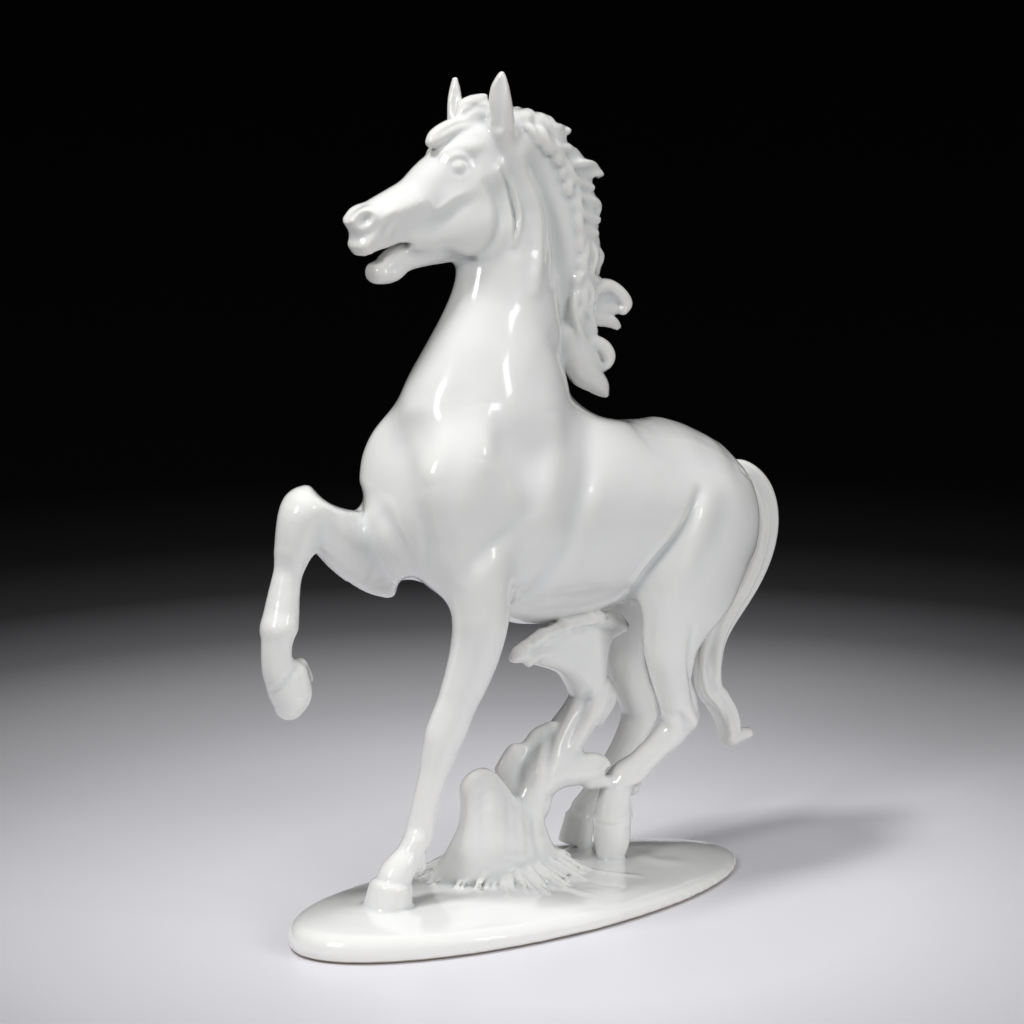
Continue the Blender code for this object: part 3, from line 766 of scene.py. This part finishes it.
# The place, as pixel u, pixel v and depth y, below which a leg is modelled again here
FEET_BELOW = {
    "left_foreleg": (416, 846, -3),
    "right_foreleg": (278, 636, 30),
    "left_hindleg": (640, 778, -2),
    "right_hindleg": (600, 800, 22),
}


def make_feet():
    add_forms(FEET, blend=2.0)
    for rows in HOOVES:
        clay.add_frustum(path(rows), HOOF_EDGE, blend=0.9)


# Tree stump

STUMP = [
    # middle, from the foot to the shelf
    [
        (530, 866, 7, 7.5), (527, 852, 6, 8.5), (523, 835, 5, 8.2), (524, 812, 5, 7.6), (531, 790, 5, 7.2),
        (545, 768, 5, 7.8), (558, 748, 5.5, 7.6), (570, 730, 6, 7.2), (580, 715, 6, 7.0),
        (588, 700, 6, 7.2), (588, 684, 6, 6.8), (585, 668, 6, 6.4),
    ],
    # knot of the stem
    [(600, 688, 5, 5.2), (608, 694, 4.5, 3.6), (606, 704, 4.5, 3.2), (597, 718, 5, 3.0)],
    # branch
    [(540, 775, 4, 7.4), (556, 771, 3, 6.8), (572, 769, 1.5, 6.2), (586, 769, 0, 5.6), (593, 770, -0.5, 4.6)],
    # flare of the foot
    [(536, 838, 2, 4.0), (542, 853, 1, 4.5), (556, 862, 2, 3.6), (572, 866, 3, 2.6)],
]
FORK = [
    [(594, 763, -1, 3.8), (602, 763, -1.5, 2.8), (607, 765, -2, 1.6)],
    [(590, 779, -1, 3.6), (601, 780, -1.5, 2.8), (609, 782, -2, 1.7)],
]
FORK_NOTCH = [(604, 771, -2, 1.5), (608, 772, -2.5, 1.6)]
# Lines of the broken wall at the left, and of the stub in front of it, from the top down
WALL = [
    [
        (553, 725, 6, 1.2), (542, 730, 8, 1.2), (533, 736, 9, 1.3), (525, 747, 9.2, 1.3),
        (513, 748, 9.5, 1.3), (505, 759, 10, 1.3), (498, 771, 10.5, 1.3),
    ],
    [
        (552, 752, 5, 3.6), (543, 756, 7, 3.6), (535, 762, 8, 3.6), (528, 770, 8.2, 3.6),
        (519, 776, 8.5, 3.6), (511, 783, 9, 3.6), (506, 792, 9.5, 3.4),
    ],
    [
        (536, 800, 4.5, 5.2), (533, 803, 4.8, 5.4), (530, 807, 5, 5.6), (527, 811, 5.2, 5.8),
        (523, 815, 5.5, 6), (518, 820, 6, 6), (512, 825, 6.5, 6),
    ],
]
STUB = [
    [
        (465, 791, 1, 1.5), (471, 780, 0.5, 1.4), (482, 774, 0.5, 1.4), (491, 778, 1.5, 1.5),
        (501, 789, 2.2, 1.8), (514, 806, 2.6, 2.2), (526, 809, 3, 2.6),
    ],
    [
        (470, 822, 1, 3.2), (476, 821, 0, 4.4), (485, 821, 0.2, 5.0), (495, 824, 0.6, 5.2),
        (506, 828, 1.4, 5.2), (517, 830, 2, 5.2), (528, 832, 2.5, 5.2),
    ],
    [
        (459, 846, 3, 2.8), (467, 848, 1.5, 3.6), (480, 850, 0.4, 4.4), (494, 851, 0.2, 4.8),
        (508, 852, 0.6, 4.8), (521, 852, 1.2, 4.8), (534, 852, 2, 4.8),
    ],
    [
        (434, 881, 12, 1.6), (446, 884, 8, 1.6), (463, 885, 3, 1.6), (482, 882, 1.5, 1.6),
        (502, 877, 1, 1.6), (522, 871, 2, 1.6), (543, 864, 4, 1.6),
    ],
]
SHELF_STEM = np.array([586, 680, 6, 6.2])
# Rim of the shelf from the left tip along the front to the right, and back along the far side
SHELF_RIM = [
    (516, 655, 1), (530, 644, 0), (548, 634, -1), (568, 626, -2), (590, 620, -1), (608, 619, 3),
    (622, 626, 7), (610, 618, 11), (590, 617, 13), (565, 623, 13), (540, 638, 9),
]
# Shares of the way from the stem to the rim, as pixel u, pixel v and depth y, and the radii there and on
# the rim
SHELF_FLARE = np.array([0.34, 0.8, 0.4])
FLARE_RADIUS = 4.2
LEAF_RADIUS = 1.4
# Middle, swing and pace of the lip round the rim, and of a second wave on it
LIP_SIZE = (2.6, 0.4, 0.55)
LIP_WAVE = (0.0, 0.2, 1.3)
SHELF_TIPS = [
    [(548, 650, 1, 3.2), (530, 653, 0.5, 2.8), (513, 658, 1, 1.6)],
    [(534, 655, 0, 2.6), (529, 663, 0, 1.6)],
]
# Tufts of grass that radiate from a low mound at the foot of the stump
GRASS_MIDDLE = seen_at(501, 868, 11.0, axis=2)
MOUND = (20.0, 15.0, 3.6)
# Reach of the grass to the sides, to the front and to the back
GRASS_SPAN = (28.0, 26.0, 13.0)
GRASS_TUFTS = 72
# Rows of a blade: share of its reach, share of its bend to the side, and share of its size
BLADE = [(0.5, 0.0, 0.8), (0.78, 1.0, 1.0)]
# Shares of bend and size at its tip, whose reach varies
BLADE_TIP = (1.0, 0.5)
# Middle, swing and pace of what varies from blade to blade
GRASS_SHIFT = (0.0, 0.3, 2.7)
GRASS_BEND = (0.0, 1.6, 1.9)
GRASS_SIZE = (1.05, 0.3, 3.3)
GRASS_REACH = (1.04, 0.1, 4.1)
GRASS_RAGGED = (0.0, 0.08, 1.3)
# The base's top lies between these heights
GROUND_BELOW = 9.5
GROUND_ABOVE = 16.0


def add_grass():
    ahead = np.cross(RIGHT, (0.0, 0.0, -1.0))
    level = np.column_stack([RIGHT, ahead, (0.0, 0.0, 1.0)])
    mound_blend = 9.0
    clay.add(*clay.ellipsoid(GRASS_MIDDLE, MOUND, level, mound_blend), mound_blend)
    for k in range(GRASS_TUFTS):
        angle = 2 * math.pi * (k + vary(k, *GRASS_SHIFT)) / GRASS_TUFTS
        depth = GRASS_SPAN[2] if math.sin(angle) > 0 else GRASS_SPAN[1]
        out = GRASS_SPAN[0] * math.cos(angle) * RIGHT + depth * math.sin(angle) * ahead
        bend = vary(k, *GRASS_BEND) * RIGHT
        size = vary(k, *GRASS_SIZE)
        reach = vary(k, *GRASS_REACH) + vary(k, *GRASS_RAGGED)
        blade = []
        for share, bent, thick in [*BLADE, (reach, *BLADE_TIP)]:
            x, y, _ = GRASS_MIDDLE + share * out + bent * bend
            blade.append([x, y, clay.ground(x, y), thick * size])
        clay.add_chain(blade, blend=0.9)


def add_shelf():
    """The thin, broken shelf that flares from the stem up to the belly."""
    rim = curve([*SHELF_RIM, SHELF_RIM[0]], steps=9)
    for place in rim:
        middle = SHELF_STEM[:3] + SHELF_FLARE * (place - SHELF_STEM[:3])
        clay.add_chain(curve(path([SHELF_STEM, (*middle, FLARE_RADIUS), (*place, LEAF_RADIUS)])), blend=1.5)
    sizes = [vary(k, *LIP_SIZE) + vary(k, *LIP_WAVE) for k in range(len(rim))]
    clay.add_chain(path(np.column_stack([rim, sizes])), blend=1.0)
    add_forms(SHELF_TIPS, blend=1.5)


def make_stump():
    add_forms(STUMP, blend=3.0)
    add_sheet(WALL, count=26, blend=1.5)
    add_sheet(STUB, count=30, blend=2.0)
    add_forms(FORK, blend=1.2)
    clay.carve_chain(path(FORK_NOTCH), blend=0.8)
    add_shelf()
    add_grass()


# Muscles, folds and lids, pressed into the skin along lines of the photograph

# Rows are the half width of a stroke, its height, which is negative for a groove, and its pixels. Those of
# the head and body are repeated on the other side.
HEAD_STROKES = [
    # behind the jaw, and the folds of the throat
    (2.0, -1.2, [(488, 184), (496, 198), (500, 213), (499, 228), (494, 242), (484, 253), (472, 259)]),
    (1.3, 1.4, [(497, 169), (504, 195), (509, 214), (511, 230), (511, 244)]),
    (1.0, -1.0, [(502, 170), (509, 190), (514, 210), (515, 228), (513, 242)]),
    (1.2, 1.3, [(501, 161), (508, 178), (515, 196), (519, 213), (519, 226), (514, 243)]),
    (2.8, 1.6, [(520, 158), (523, 174), (530, 190), (536, 208), (539, 228), (539, 256), (536, 290)]),
    (3.4, -1.1, [(532, 160), (545, 190), (553, 222), (556, 255), (553, 290)]),
    # eye
    (0.9, 0.35, [(446, 168), (450, 159), (459, 155), (467, 159), (471, 167)]),
    (0.9, 0.2, [(447, 170), (454, 177), (463, 177), (471, 170)]),
    (1.2, -0.25, [(443, 162), (450, 152), (461, 150), (471, 155), (477, 165)]),
    # nose, lips and the bone of the face
    (0.9, 0.35, [(353, 217), (360, 212), (369, 211), (376, 214), (378, 221)]),
    (1.0, -0.6, [(390, 222), (385, 231), (381, 239)]),
    (1.0, 0.5, [(394, 225), (389, 234), (386, 240)]),
    (1.0, 0.3, [(431, 201), (436, 209), (443, 206), (453, 198), (466, 192)]),
    (2.2, -0.6, [(430, 222), (446, 217), (462, 206), (476, 198)]),
    (2.4, 0.6, [(391, 213), (408, 207), (424, 199)]),
]
FORELOCK_STROKES = [
    (0.9, -0.6, [(472, 121), (458, 124), (446, 130), (436, 137)]),
    (0.9, -0.7, [(461, 117), (468, 111), (478, 107), (488, 108)]),
    (0.8, -0.6, [(465, 105), (472, 105), (479, 103), (486, 100)]),
]
BODY_STROKES = [
    # shoulder and elbow
    (7.0, 1.5, [(552, 412), (555, 446), (551, 486), (544, 522), (531, 552)]),
    (5.0, -1.4, [(590, 428), (588, 470), (579, 512), (566, 548), (543, 582), (522, 602)]),
    (4.0, -1.2, [(464, 588), (470, 569), (486, 550), (505, 533), (526, 512)]),
    # flank and thigh
    (2.4, -2.0, [(700, 492), (690, 518), (674, 542), (652, 569), (637, 589), (617, 606)]),
    (1.5, 0.8, [(684, 518), (667, 540), (646, 565), (630, 586)]),
    (6.0, 1.6, [(712, 500), (702, 530), (688, 556), (674, 578), (664, 604)]),
    # foot of the neck, and front of the shoulder
    (5.0, -0.9, [(548, 330), (560, 350), (574, 378)]),
    (5.0, 0.9, [(470, 420), (500, 470), (520, 520)]),
]
NEAR_STROKES = [
    # root of the raised foreleg
    (4.0, -1.4, [(378, 508), (396, 540), (413, 569)]),
    (3.0, -0.9, [(422, 512), (427, 545), (425, 572)]),
    # left hock
    (1.8, 1.0, [(663, 714), (671, 721), (677, 732)]),
    (1.4, -0.9, [(680, 714), (685, 724), (688, 736)]),
    (1.8, 0.9, [(690, 712), (694, 722), (692, 734)]),
    (1.5, -1.0, [(692, 629), (689, 664), (692, 690), (695, 708)]),
    # muscles of the breast
    (5.0, 0.9, [(412, 438), (423, 462), (430, 486)]),
    (4.5, 0.8, [(484, 404), (487, 432), (483, 460)]),
    (5.0, -0.9, [(455, 400), (457, 440), (451, 490), (444, 540)]),
    (4.0, 0.6, [(398, 418), (412, 410), (430, 408)]),
    # tail
    (1.1, -0.9, [(742, 470), (761, 490), (767, 518), (763, 550), (750, 582), (732, 614), (719, 642)]),
    (1.1, -0.8, [(710, 646), (706, 668), (711, 690), (722, 706), (728, 724)]),
    # coronets
    (0.9, -0.8, [(270, 692), (281, 685), (293, 674), (303, 662)]),
    (0.8, -0.5, [(593, 821), (604, 825), (618, 825), (631, 819)]),
    # hollow of the stub, folds of the trunk and the stem
    (3.2, -1.3, [(482, 786), (481, 815), (480, 850)]),
    (1.4, 0.4, [(468, 790), (467, 815), (464, 845)]),
    (1.8, -0.4, [(508, 802), (509, 828), (509, 852)]),
    (1.8, 0.5, [(520, 812), (522, 836), (523, 855)]),
    (1.6, -0.7, [(533, 815), (535, 838), (538, 855)]),
    (1.5, -0.9, [(534, 650), (552, 637), (570, 632), (594, 627), (614, 629)]),
    (1.8, -0.8, [(588, 690), (584, 708), (576, 726), (566, 748)]),
    (1.8, 0.7, [(577, 692), (572, 710), (563, 730), (553, 754)]),
    (1.8, 0.7, [(597, 700), (589, 720), (579, 740)]),
    (1.4, -0.6, [(551, 732), (549, 756), (545, 784)]),
    (1.4, 0.4, [(543, 734), (540, 758), (537, 784)]),
    # ground
    (4.0, 0.5, [(566, 884), (590, 892), (620, 892), (644, 884)]),
    (4.0, 0.4, [(636, 852), (655, 860), (684, 862)]),
    (1.4, 0.5, [(566, 862), (600, 872), (640, 876)]),
    (1.2, -0.4, [(562, 870), (590, 882), (622, 888)]),
    (1.4, 0.5, [(550, 878), (574, 891), (602, 898)]),
]
# How far a stroke is felt in half widths, and how much of its fading is cut off at its ends
STROKE_REACH = 2.5
STROKE_CUT = 0.04
# Heights between which the middle of the body bends with the neck, and depths y of the middle there
BEND_HEIGHTS = (190.0, 270.0)
BEND_MIDDLES = (10.0, 14.0)


def mirror_body(place):
    """A place on the other side of the body, whose middle bends with the neck."""
    middle = np.interp(place[2], BEND_HEIGHTS, BEND_MIDDLES)
    return np.array([place[0], 2 * middle - place[1], place[2]])


def press(skin, tree, pairs, singles, mirror):
    """Presses strokes into the skin along its normals, those of pairs on the other side too."""
    lines = []
    for width, height, pixels in [*pairs, *singles]:
        hits = [on_skin(tree, u, v) for u, v in curve(pixels, steps=14)]
        lines.append((width, height, [hit for hit in hits if hit]))
    for width, height, hits in lines[: len(pairs)]:
        lines.append((width, height, [tree.find_nearest(Vector(mirror(place)))[:2] for place, _ in hits]))
    normals = skin.normals()
    push = np.zeros(len(skin.points))
    for width, height, hits in lines:
        line, outs = (np.array(column) for column in zip(*hits))
        low, high = line.min(0) - STROKE_REACH * width, line.max(0) + STROKE_REACH * width
        near = np.flatnonzero(((skin.points > low) & (skin.points < high)).all(1))
        span = np.linalg.norm(skin.points[near, None] - line[None], axis=2)
        closest = span.argmin(1)
        share = STROKE_CUT + (1 - 2 * STROKE_CUT) * closest / (len(line) - 1)
        fade = np.sqrt(np.clip(np.sin(np.pi * share), 0, 1))
        facing = np.clip((normals[near] * outs[closest]).sum(1), 0, 1)
        push[near] += height * fade * facing * np.exp(-((span.min(1) / width) ** 2))
    skin.points = skin.points + normals * push[:, None]


# Unevenness of the surface

# Height and length of its waves
UNEVENNESS = ((0.5, 22.0), (0.14, 9.0))
# Heights over which it fades out towards the smooth base, and the shares left there
FADE_HEIGHTS = (10.0, 25.0)
FADE_SHARES = (0.15, 1.0)
# Depth from a sharp edge to a full hollow
HOLLOW_DEPTH = 1.2


def roughen(skin, height, length):
    """The slight unevenness of a hand-worked, glazed surface, which fades out on the smooth base."""
    lift = np.array([noise.noise(Vector(point) / length) for point in skin.points.tolist()])
    lift *= np.interp(skin.points[:, 2], FADE_HEIGHTS, FADE_SHARES)
    skin.points = skin.points + height * lift[:, None] * skin.normals()


def find_hollows(skin):
    """How far each place lies in a hollow: 0 on a sharp edge, 0.5 on flat skin and 1 in a narrow groove."""
    worn = Skin(skin.points.copy(), skin.quads)
    worn.smooth(rounds=12, steps=WEAR)
    depth = ((worn.points - skin.points) * skin.normals()).sum(1)
    depth = skin.blur(depth[:, None], rounds=2)[:, 0]
    return np.clip(0.5 + depth / HOLLOW_DEPTH, 0, 1)


# Parting of the skin

def face_pairs(quads):
    """The two faces at each edge."""
    sides = np.sort(quad_edges(quads), axis=1)
    faces = np.tile(np.arange(len(quads)), 4)
    order = np.lexsort(sides.T)
    shared = (sides[order[1:]] == sides[order[:-1]]).all(1)
    return faces[order[:-1]][shared], faces[order[1:]][shared]


def join_islands(quads, owners):
    """Gives each patch that lies apart from the largest one of its piece to the piece around it."""
    first, second = face_pairs(quads)
    same = owners[first] == owners[second]
    patch, before = np.arange(len(quads)), None
    while not np.array_equal(patch, before):
        before, patch = patch, patch.copy()
        low = np.minimum(before[first[same]], before[second[same]])
        np.minimum.at(patch, before[first[same]], low)
        np.minimum.at(patch, before[second[same]], low)
        patch = patch[patch]
    sizes = np.bincount(patch, minlength=len(quads))[patch]
    largest = np.zeros(len(nodes), int)
    np.maximum.at(largest, owners, sizes)
    island = sizes < largest[owners]
    first, second = np.r_[first, second], np.r_[second, first]
    while True:
        shore = island[first] & ~island[second]
        if not shore.any():
            return owners
        owners[first[shore]] = owners[second[shore]]
        island[first[shore]] = False


def part_skin(skin):
    """The number of the solid that each face of the skin belongs to, with the borders evened out."""
    share = skin.blur(np.eye(len(nodes), dtype=np.float32)[nearest_solids(skin.points)], rounds=8)
    owners = sum(share[corner] for corner in skin.quads.T).argmax(1)
    return join_islands(skin.quads, owners)


def border_loops(quads):
    """The closed rows of vertices along the open borders of a piece."""
    known = set(map(tuple, quad_edges(quads).tolist()))
    after = {}
    for a, b in known:
        if (b, a) not in known:
            after.setdefault(b, []).append(a)
    loops = []
    while after:
        loop, here = [], min(after)
        while here in after:
            loop.append(here)
            onward = after[here].pop()
            if not after[here]:
                del after[here]
            here = onward
        loops.append(loop)
    return loops


def close_border(points, faces, loop, normals):
    """Adds a wall across a border, which runs inside the porcelain from ring to ring towards the middle."""
    edge = points[loop]
    centre = edge.mean(0)
    rings = [edge + share * (centre - edge) - WALL_DEPTH * normals[loop] for share in WALL_RINGS]
    added = clay.sink(np.vstack([*rings, centre[None]]), WALL_DEPTH)
    count, first = len(loop), len(points)
    rows = [np.array(loop)] + [first + ring * count + np.arange(count) for ring in range(len(rings))]
    for outer, inner in zip(rows, rows[1:]):
        faces.extend(np.column_stack([outer, np.roll(outer, -1), np.roll(inner, -1), inner]).tolist())
    middle = np.full(count, first + len(rings) * count)
    faces.extend(np.column_stack([rows[-1], np.roll(rows[-1], -1), middle]).tolist())
    return np.vstack([points, added])


def make_piece(node, skin, normals, hollows, chosen):
    """A closed mesh object of the chosen faces of the skin, which keeps the shading of the whole."""
    used, quads = np.unique(skin.quads[chosen], return_inverse=True)
    quads = quads.reshape(-1, 4)
    points, faces = skin.points[used], quads.tolist()
    for loop in border_loops(quads):
        points = close_border(points, faces, loop, normals[used])
    mesh = bpy.data.meshes.new(node + "_porcelain")
    mesh.from_pydata((points * MM).tolist(), [], faces)
    mesh.shade_smooth()
    inside = np.zeros(len(points) - len(used))
    hollow = mesh.attributes.new("hollow", "FLOAT", "POINT")
    hollow.data.foreach_set("value", np.r_[hollows[used], inside].astype(np.float32))
    inner = [tuple(vertex.normal) for vertex in mesh.vertices[len(used):]]
    mesh.normals_split_custom_set_from_vertices(normals[used].tolist() + inner)
    return add_object(node + "_porcelain", mesh)


# Materials

# Colours of sharp edges, flat skin and hollows, and where they lie on the scale of find_hollows. The
# grey-blue of the hollows is pooled glaze together with painted shade, and the lighter, warmer sharp edges
# are painted light standing in for light shining through thin porcelain.
GLAZE_POOL_AND_SHADE_STOPS = [(0.35, (0.87, 0.865, 0.84)), (0.5, (0.855, 0.86, 0.855)), (0.8, (0.7, 0.725, 0.73))]
CLOUD_TINT = (0.985, 0.98, 0.965)
PEEL_HEIGHT = 0.1
BISCUIT_COLOUR = (0.42, 0.35, 0.28)
RIM_HEIGHT = 0.6
RIM_RAGGED = 0.6
RIM_FADE = 0.3


def start_material(name):
    """A new material, its shader, and the socket of places on the object."""
    material = bpy.data.materials.new(name)
    material.use_nodes = True
    nodes = material.node_tree.nodes
    return material, nodes["Principled BSDF"], nodes.new("ShaderNodeTexCoord").outputs["Object"]


def add_node(tree, kind, inputs, **settings):
    """A node with its settings, and a constant or a link for each of the named inputs."""
    node = tree.nodes.new(kind)
    for name, value in settings.items():
        setattr(node, name, value)
    for name, value in inputs.items():
        if isinstance(value, bpy.types.NodeSocket):
            tree.links.new(value, node.inputs[name])
        else:
            node.inputs[name].default_value = value
    return node


def add_ramp(tree, factor, stops):
    """The colour of a ramp with stops of a position and a colour."""
    ramp = add_node(tree, "ShaderNodeValToRGB", {"Fac": factor})
    elements = ramp.color_ramp.elements
    for position, _ in stops[1:-1]:
        elements.new(position)
    for element, (position, colour) in zip(elements, stops):
        element.position = position
        element.color = (*colour, 1)
    return ramp.outputs["Color"]


def porcelain():
    """White glaze, greyed blue in the hollows by pooled glaze and painted shade, with painted light on sharp
    edges, over a bare foot rim.
    """
    material, shader, place = start_material("glazed_porcelain")
    tree = material.node_tree
    shader.inputs["IOR"].default_value = 1.5
    shader.inputs["Coat Roughness"].default_value = 0.03
    shader.inputs["Coat IOR"].default_value = 1.5
    hollow = add_node(tree, "ShaderNodeAttribute", {}, attribute_name="hollow")
    # Painted shade and light: hollows are coloured darker and grey-blue, sharp edges lighter and warmer
    pool_and_shade = add_ramp(tree, hollow.outputs["Fac"], GLAZE_POOL_AND_SHADE_STOPS)

    # Faint clouds in the body of the porcelain
    cloud = add_node(tree, "ShaderNodeTexNoise", {"Vector": place, "Scale": 24.0, "Detail": 3.0})
    cloud = cloud.outputs["Fac"]
    tint = add_node(
        tree, "ShaderNodeMix", {"Factor": cloud, "A": pool_and_shade, "B": (*CLOUD_TINT, 1)},
        data_type="RGBA", blend_type="MULTIPLY",
    )

    # Bare foot rim, where the glaze ends above the ground
    height = add_node(tree, "ShaderNodeSeparateXYZ", {"Vector": place}).outputs["Z"]
    ragged_inputs = {0: cloud, 1: -RIM_RAGGED * MM, 2: height}
    ragged = add_node(tree, "ShaderNodeMath", ragged_inputs, operation="MULTIPLY_ADD").outputs["Value"]
    glaze_range = {"From Min": RIM_HEIGHT * MM, "From Max": (RIM_HEIGHT + RIM_FADE) * MM}
    glazed = add_node(tree, "ShaderNodeMapRange", {"Value": ragged, **glaze_range}).outputs["Result"]
    body = add_node(
        tree, "ShaderNodeMix", {"Factor": glazed, "A": (*BISCUIT_COLOUR, 1), "B": tint.outputs["Result"]},
        data_type="RGBA",
    )
    tree.links.new(body.outputs["Result"], shader.inputs["Base Color"])

    # Glossy glaze over a matt body
    for socket, bare, covered in (("Roughness", 0.75, 0.17), ("Coat Weight", 0.0, 0.85)):
        change = add_node(tree, "ShaderNodeMapRange", {"Value": glazed, "To Min": bare, "To Max": covered})
        tree.links.new(change.outputs["Result"], shader.inputs[socket])

    # Slight orange peel of the glaze
    peel = add_node(tree, "ShaderNodeTexNoise", {"Vector": place, "Scale": 260.0, "Detail": 1.0})
    bump_inputs = {"Height": peel.outputs["Fac"], "Strength": 0.12, "Distance": PEEL_HEIGHT * MM}
    bump = add_node(tree, "ShaderNodeBump", bump_inputs).outputs["Normal"]
    tree.links.new(bump, shader.inputs["Normal"])
    tree.links.new(bump, shader.inputs["Coat Normal"])
    return material


# Stage, in metres and watts

LAMP_AIM = Vector((0.0, 0.0, 0.14))
# Name, place, size and power of the lamps, and whether the glaze mirrors them
LAMPS = [
    ("key", (-0.62, 0.2, 1.75), (0.3, 0.3), 18, False),
    ("left", (-1.45, -0.45, 1.05), (0.3, 0.55), 9.3, True),
    ("right", (0.5, -1.6, 0.9), (0.22, 0.35), 1.2, True),
    ("top", (0.3, -0.4, 1.7), (1.4, 1.4), 2.5, False),
    ("front", (0.6, -1.65, 0.9), (1.2, 1.2), 14.5, False),
]
# The world as it lights matt surfaces, and as it is seen and mirrored
WORLD_FILL = (0.22, 0.22, 0.225)
WORLD_SEEN = (0.0015, 0.0015, 0.0015)
FLOOR_COLOUR = np.array([0.735, 0.73, 0.765])
# A painted pool of light on the floor: the distance from the middle, and the share of the floor's colour that
# is left there
FLOOR_LIGHT_POOL = [
    (0.0, 1.0), (0.12, 1.0), (0.2, 0.78), (0.26, 0.55), (0.32, 0.38), (0.39, 0.15), (0.47, 0.035),
    (0.56, 0.01), (0.7, 0.002),
]


def make_floor():
    bm = bmesh.new()
    bmesh.ops.create_circle(bm, cap_ends=True, segments=96, radius=6.0)
    mesh = bpy.data.meshes.new("floor")
    bm.to_mesh(mesh)
    bm.free()
    material, shader, place = start_material("floor")
    tree = material.node_tree
    shader.inputs["Roughness"].default_value = 0.4
    # Painted light: the floor's colour is bright near the middle and falls off to black with distance
    length = add_node(tree, "ShaderNodeVectorMath", {0: place}, operation="LENGTH").outputs["Value"]
    far = FLOOR_LIGHT_POOL[-1][0]
    fade = add_node(tree, "ShaderNodeMapRange", {"Value": length, "From Max": far}).outputs["Result"]
    stops = [(distance / far, FLOOR_COLOUR * share) for distance, share in FLOOR_LIGHT_POOL]
    tree.links.new(add_ramp(tree, fade, stops), shader.inputs["Base Color"])
    mesh.materials.append(material)
    floor = add_object("floor", mesh)


def add_lamp(name, place, size, watts, mirrored_in_glaze):
    data = bpy.data.lights.new(name, "AREA")
    data.shape = "RECTANGLE"
    data.size, data.size_y = size
    data.energy = watts
    lamp = add_object(name, data)
    lamp.location = place
    lamp.rotation_euler = (LAMP_AIM - Vector(place)).to_track_quat("-Z", "Y").to_euler()
    lamp.visible_glossy = mirrored_in_glaze


def make_light():
    """The lamps, and a dark studio that fills in matt surfaces."""
    for lamp in LAMPS:
        add_lamp(*lamp)
    world = bpy.data.worlds.new("studio")
    bpy.context.scene.world = world
    world.use_nodes = True
    tree = world.node_tree
    matt = tree.nodes.new("ShaderNodeLightPath").outputs["Is Diffuse Ray"]
    colours = {"Factor": matt, "A": (*WORLD_SEEN, 1), "B": (*WORLD_FILL, 1)}
    colour = add_node(tree, "ShaderNodeMix", colours, data_type="RGBA").outputs["Result"]
    tree.links.new(colour, tree.nodes["Background"].inputs["Color"])


def make_camera():
    data = bpy.data.cameras.new("camera")
    data.sensor_width = CAMERA_SENSOR
    data.lens = CAMERA_LENS
    data.clip_end = 50
    camera = add_object("camera", data)
    camera.location = Vector(EYE_POINT) * MM
    camera.rotation_euler = Matrix((RIGHT, UP, BACK)).transposed().to_euler()
    bpy.context.scene.camera = camera


for startup_object in list(bpy.data.objects):
    bpy.data.objects.remove(startup_object)
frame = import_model()
cad_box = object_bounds()
low, high = (np.array(corner) / MM for corner in cad_box)
nodes = sorted(frame["nodes"])

body = melt_body(low - MARGIN, high + MARGIN)
clay = Clay(low - MARGIN, high + MARGIN, FINE)
clay.field = clay.of_mesh(body.points, body.quads)
trim_body()
make_hair()
make_ears()
make_face()
make_feet()
make_stump()
skin = Skin(*clay.mesh())
skin.smooth(rounds=3)
skin_tree = skin.tree()
press(skin, skin_tree, HEAD_STROKES, FORELOCK_STROKES, mirror_head)
press(skin, skin_tree, BODY_STROKES, NEAR_STROKES, mirror_body)
for wave in UNEVENNESS:
    roughen(skin, *wave)
skin.smooth(rounds=2)
hollows = find_hollows(skin)
normals = skin.normals()
owners = part_skin(skin)
glaze = porcelain()
for number, node in enumerate(nodes):
    piece = make_piece(node, skin, normals, hollows, owners == number)
    piece.data.materials.append(glaze)
    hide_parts(node)
    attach(piece, "root")

make_floor()
make_light()
make_camera()
bpy.context.scene.view_settings.view_transform = "Standard"
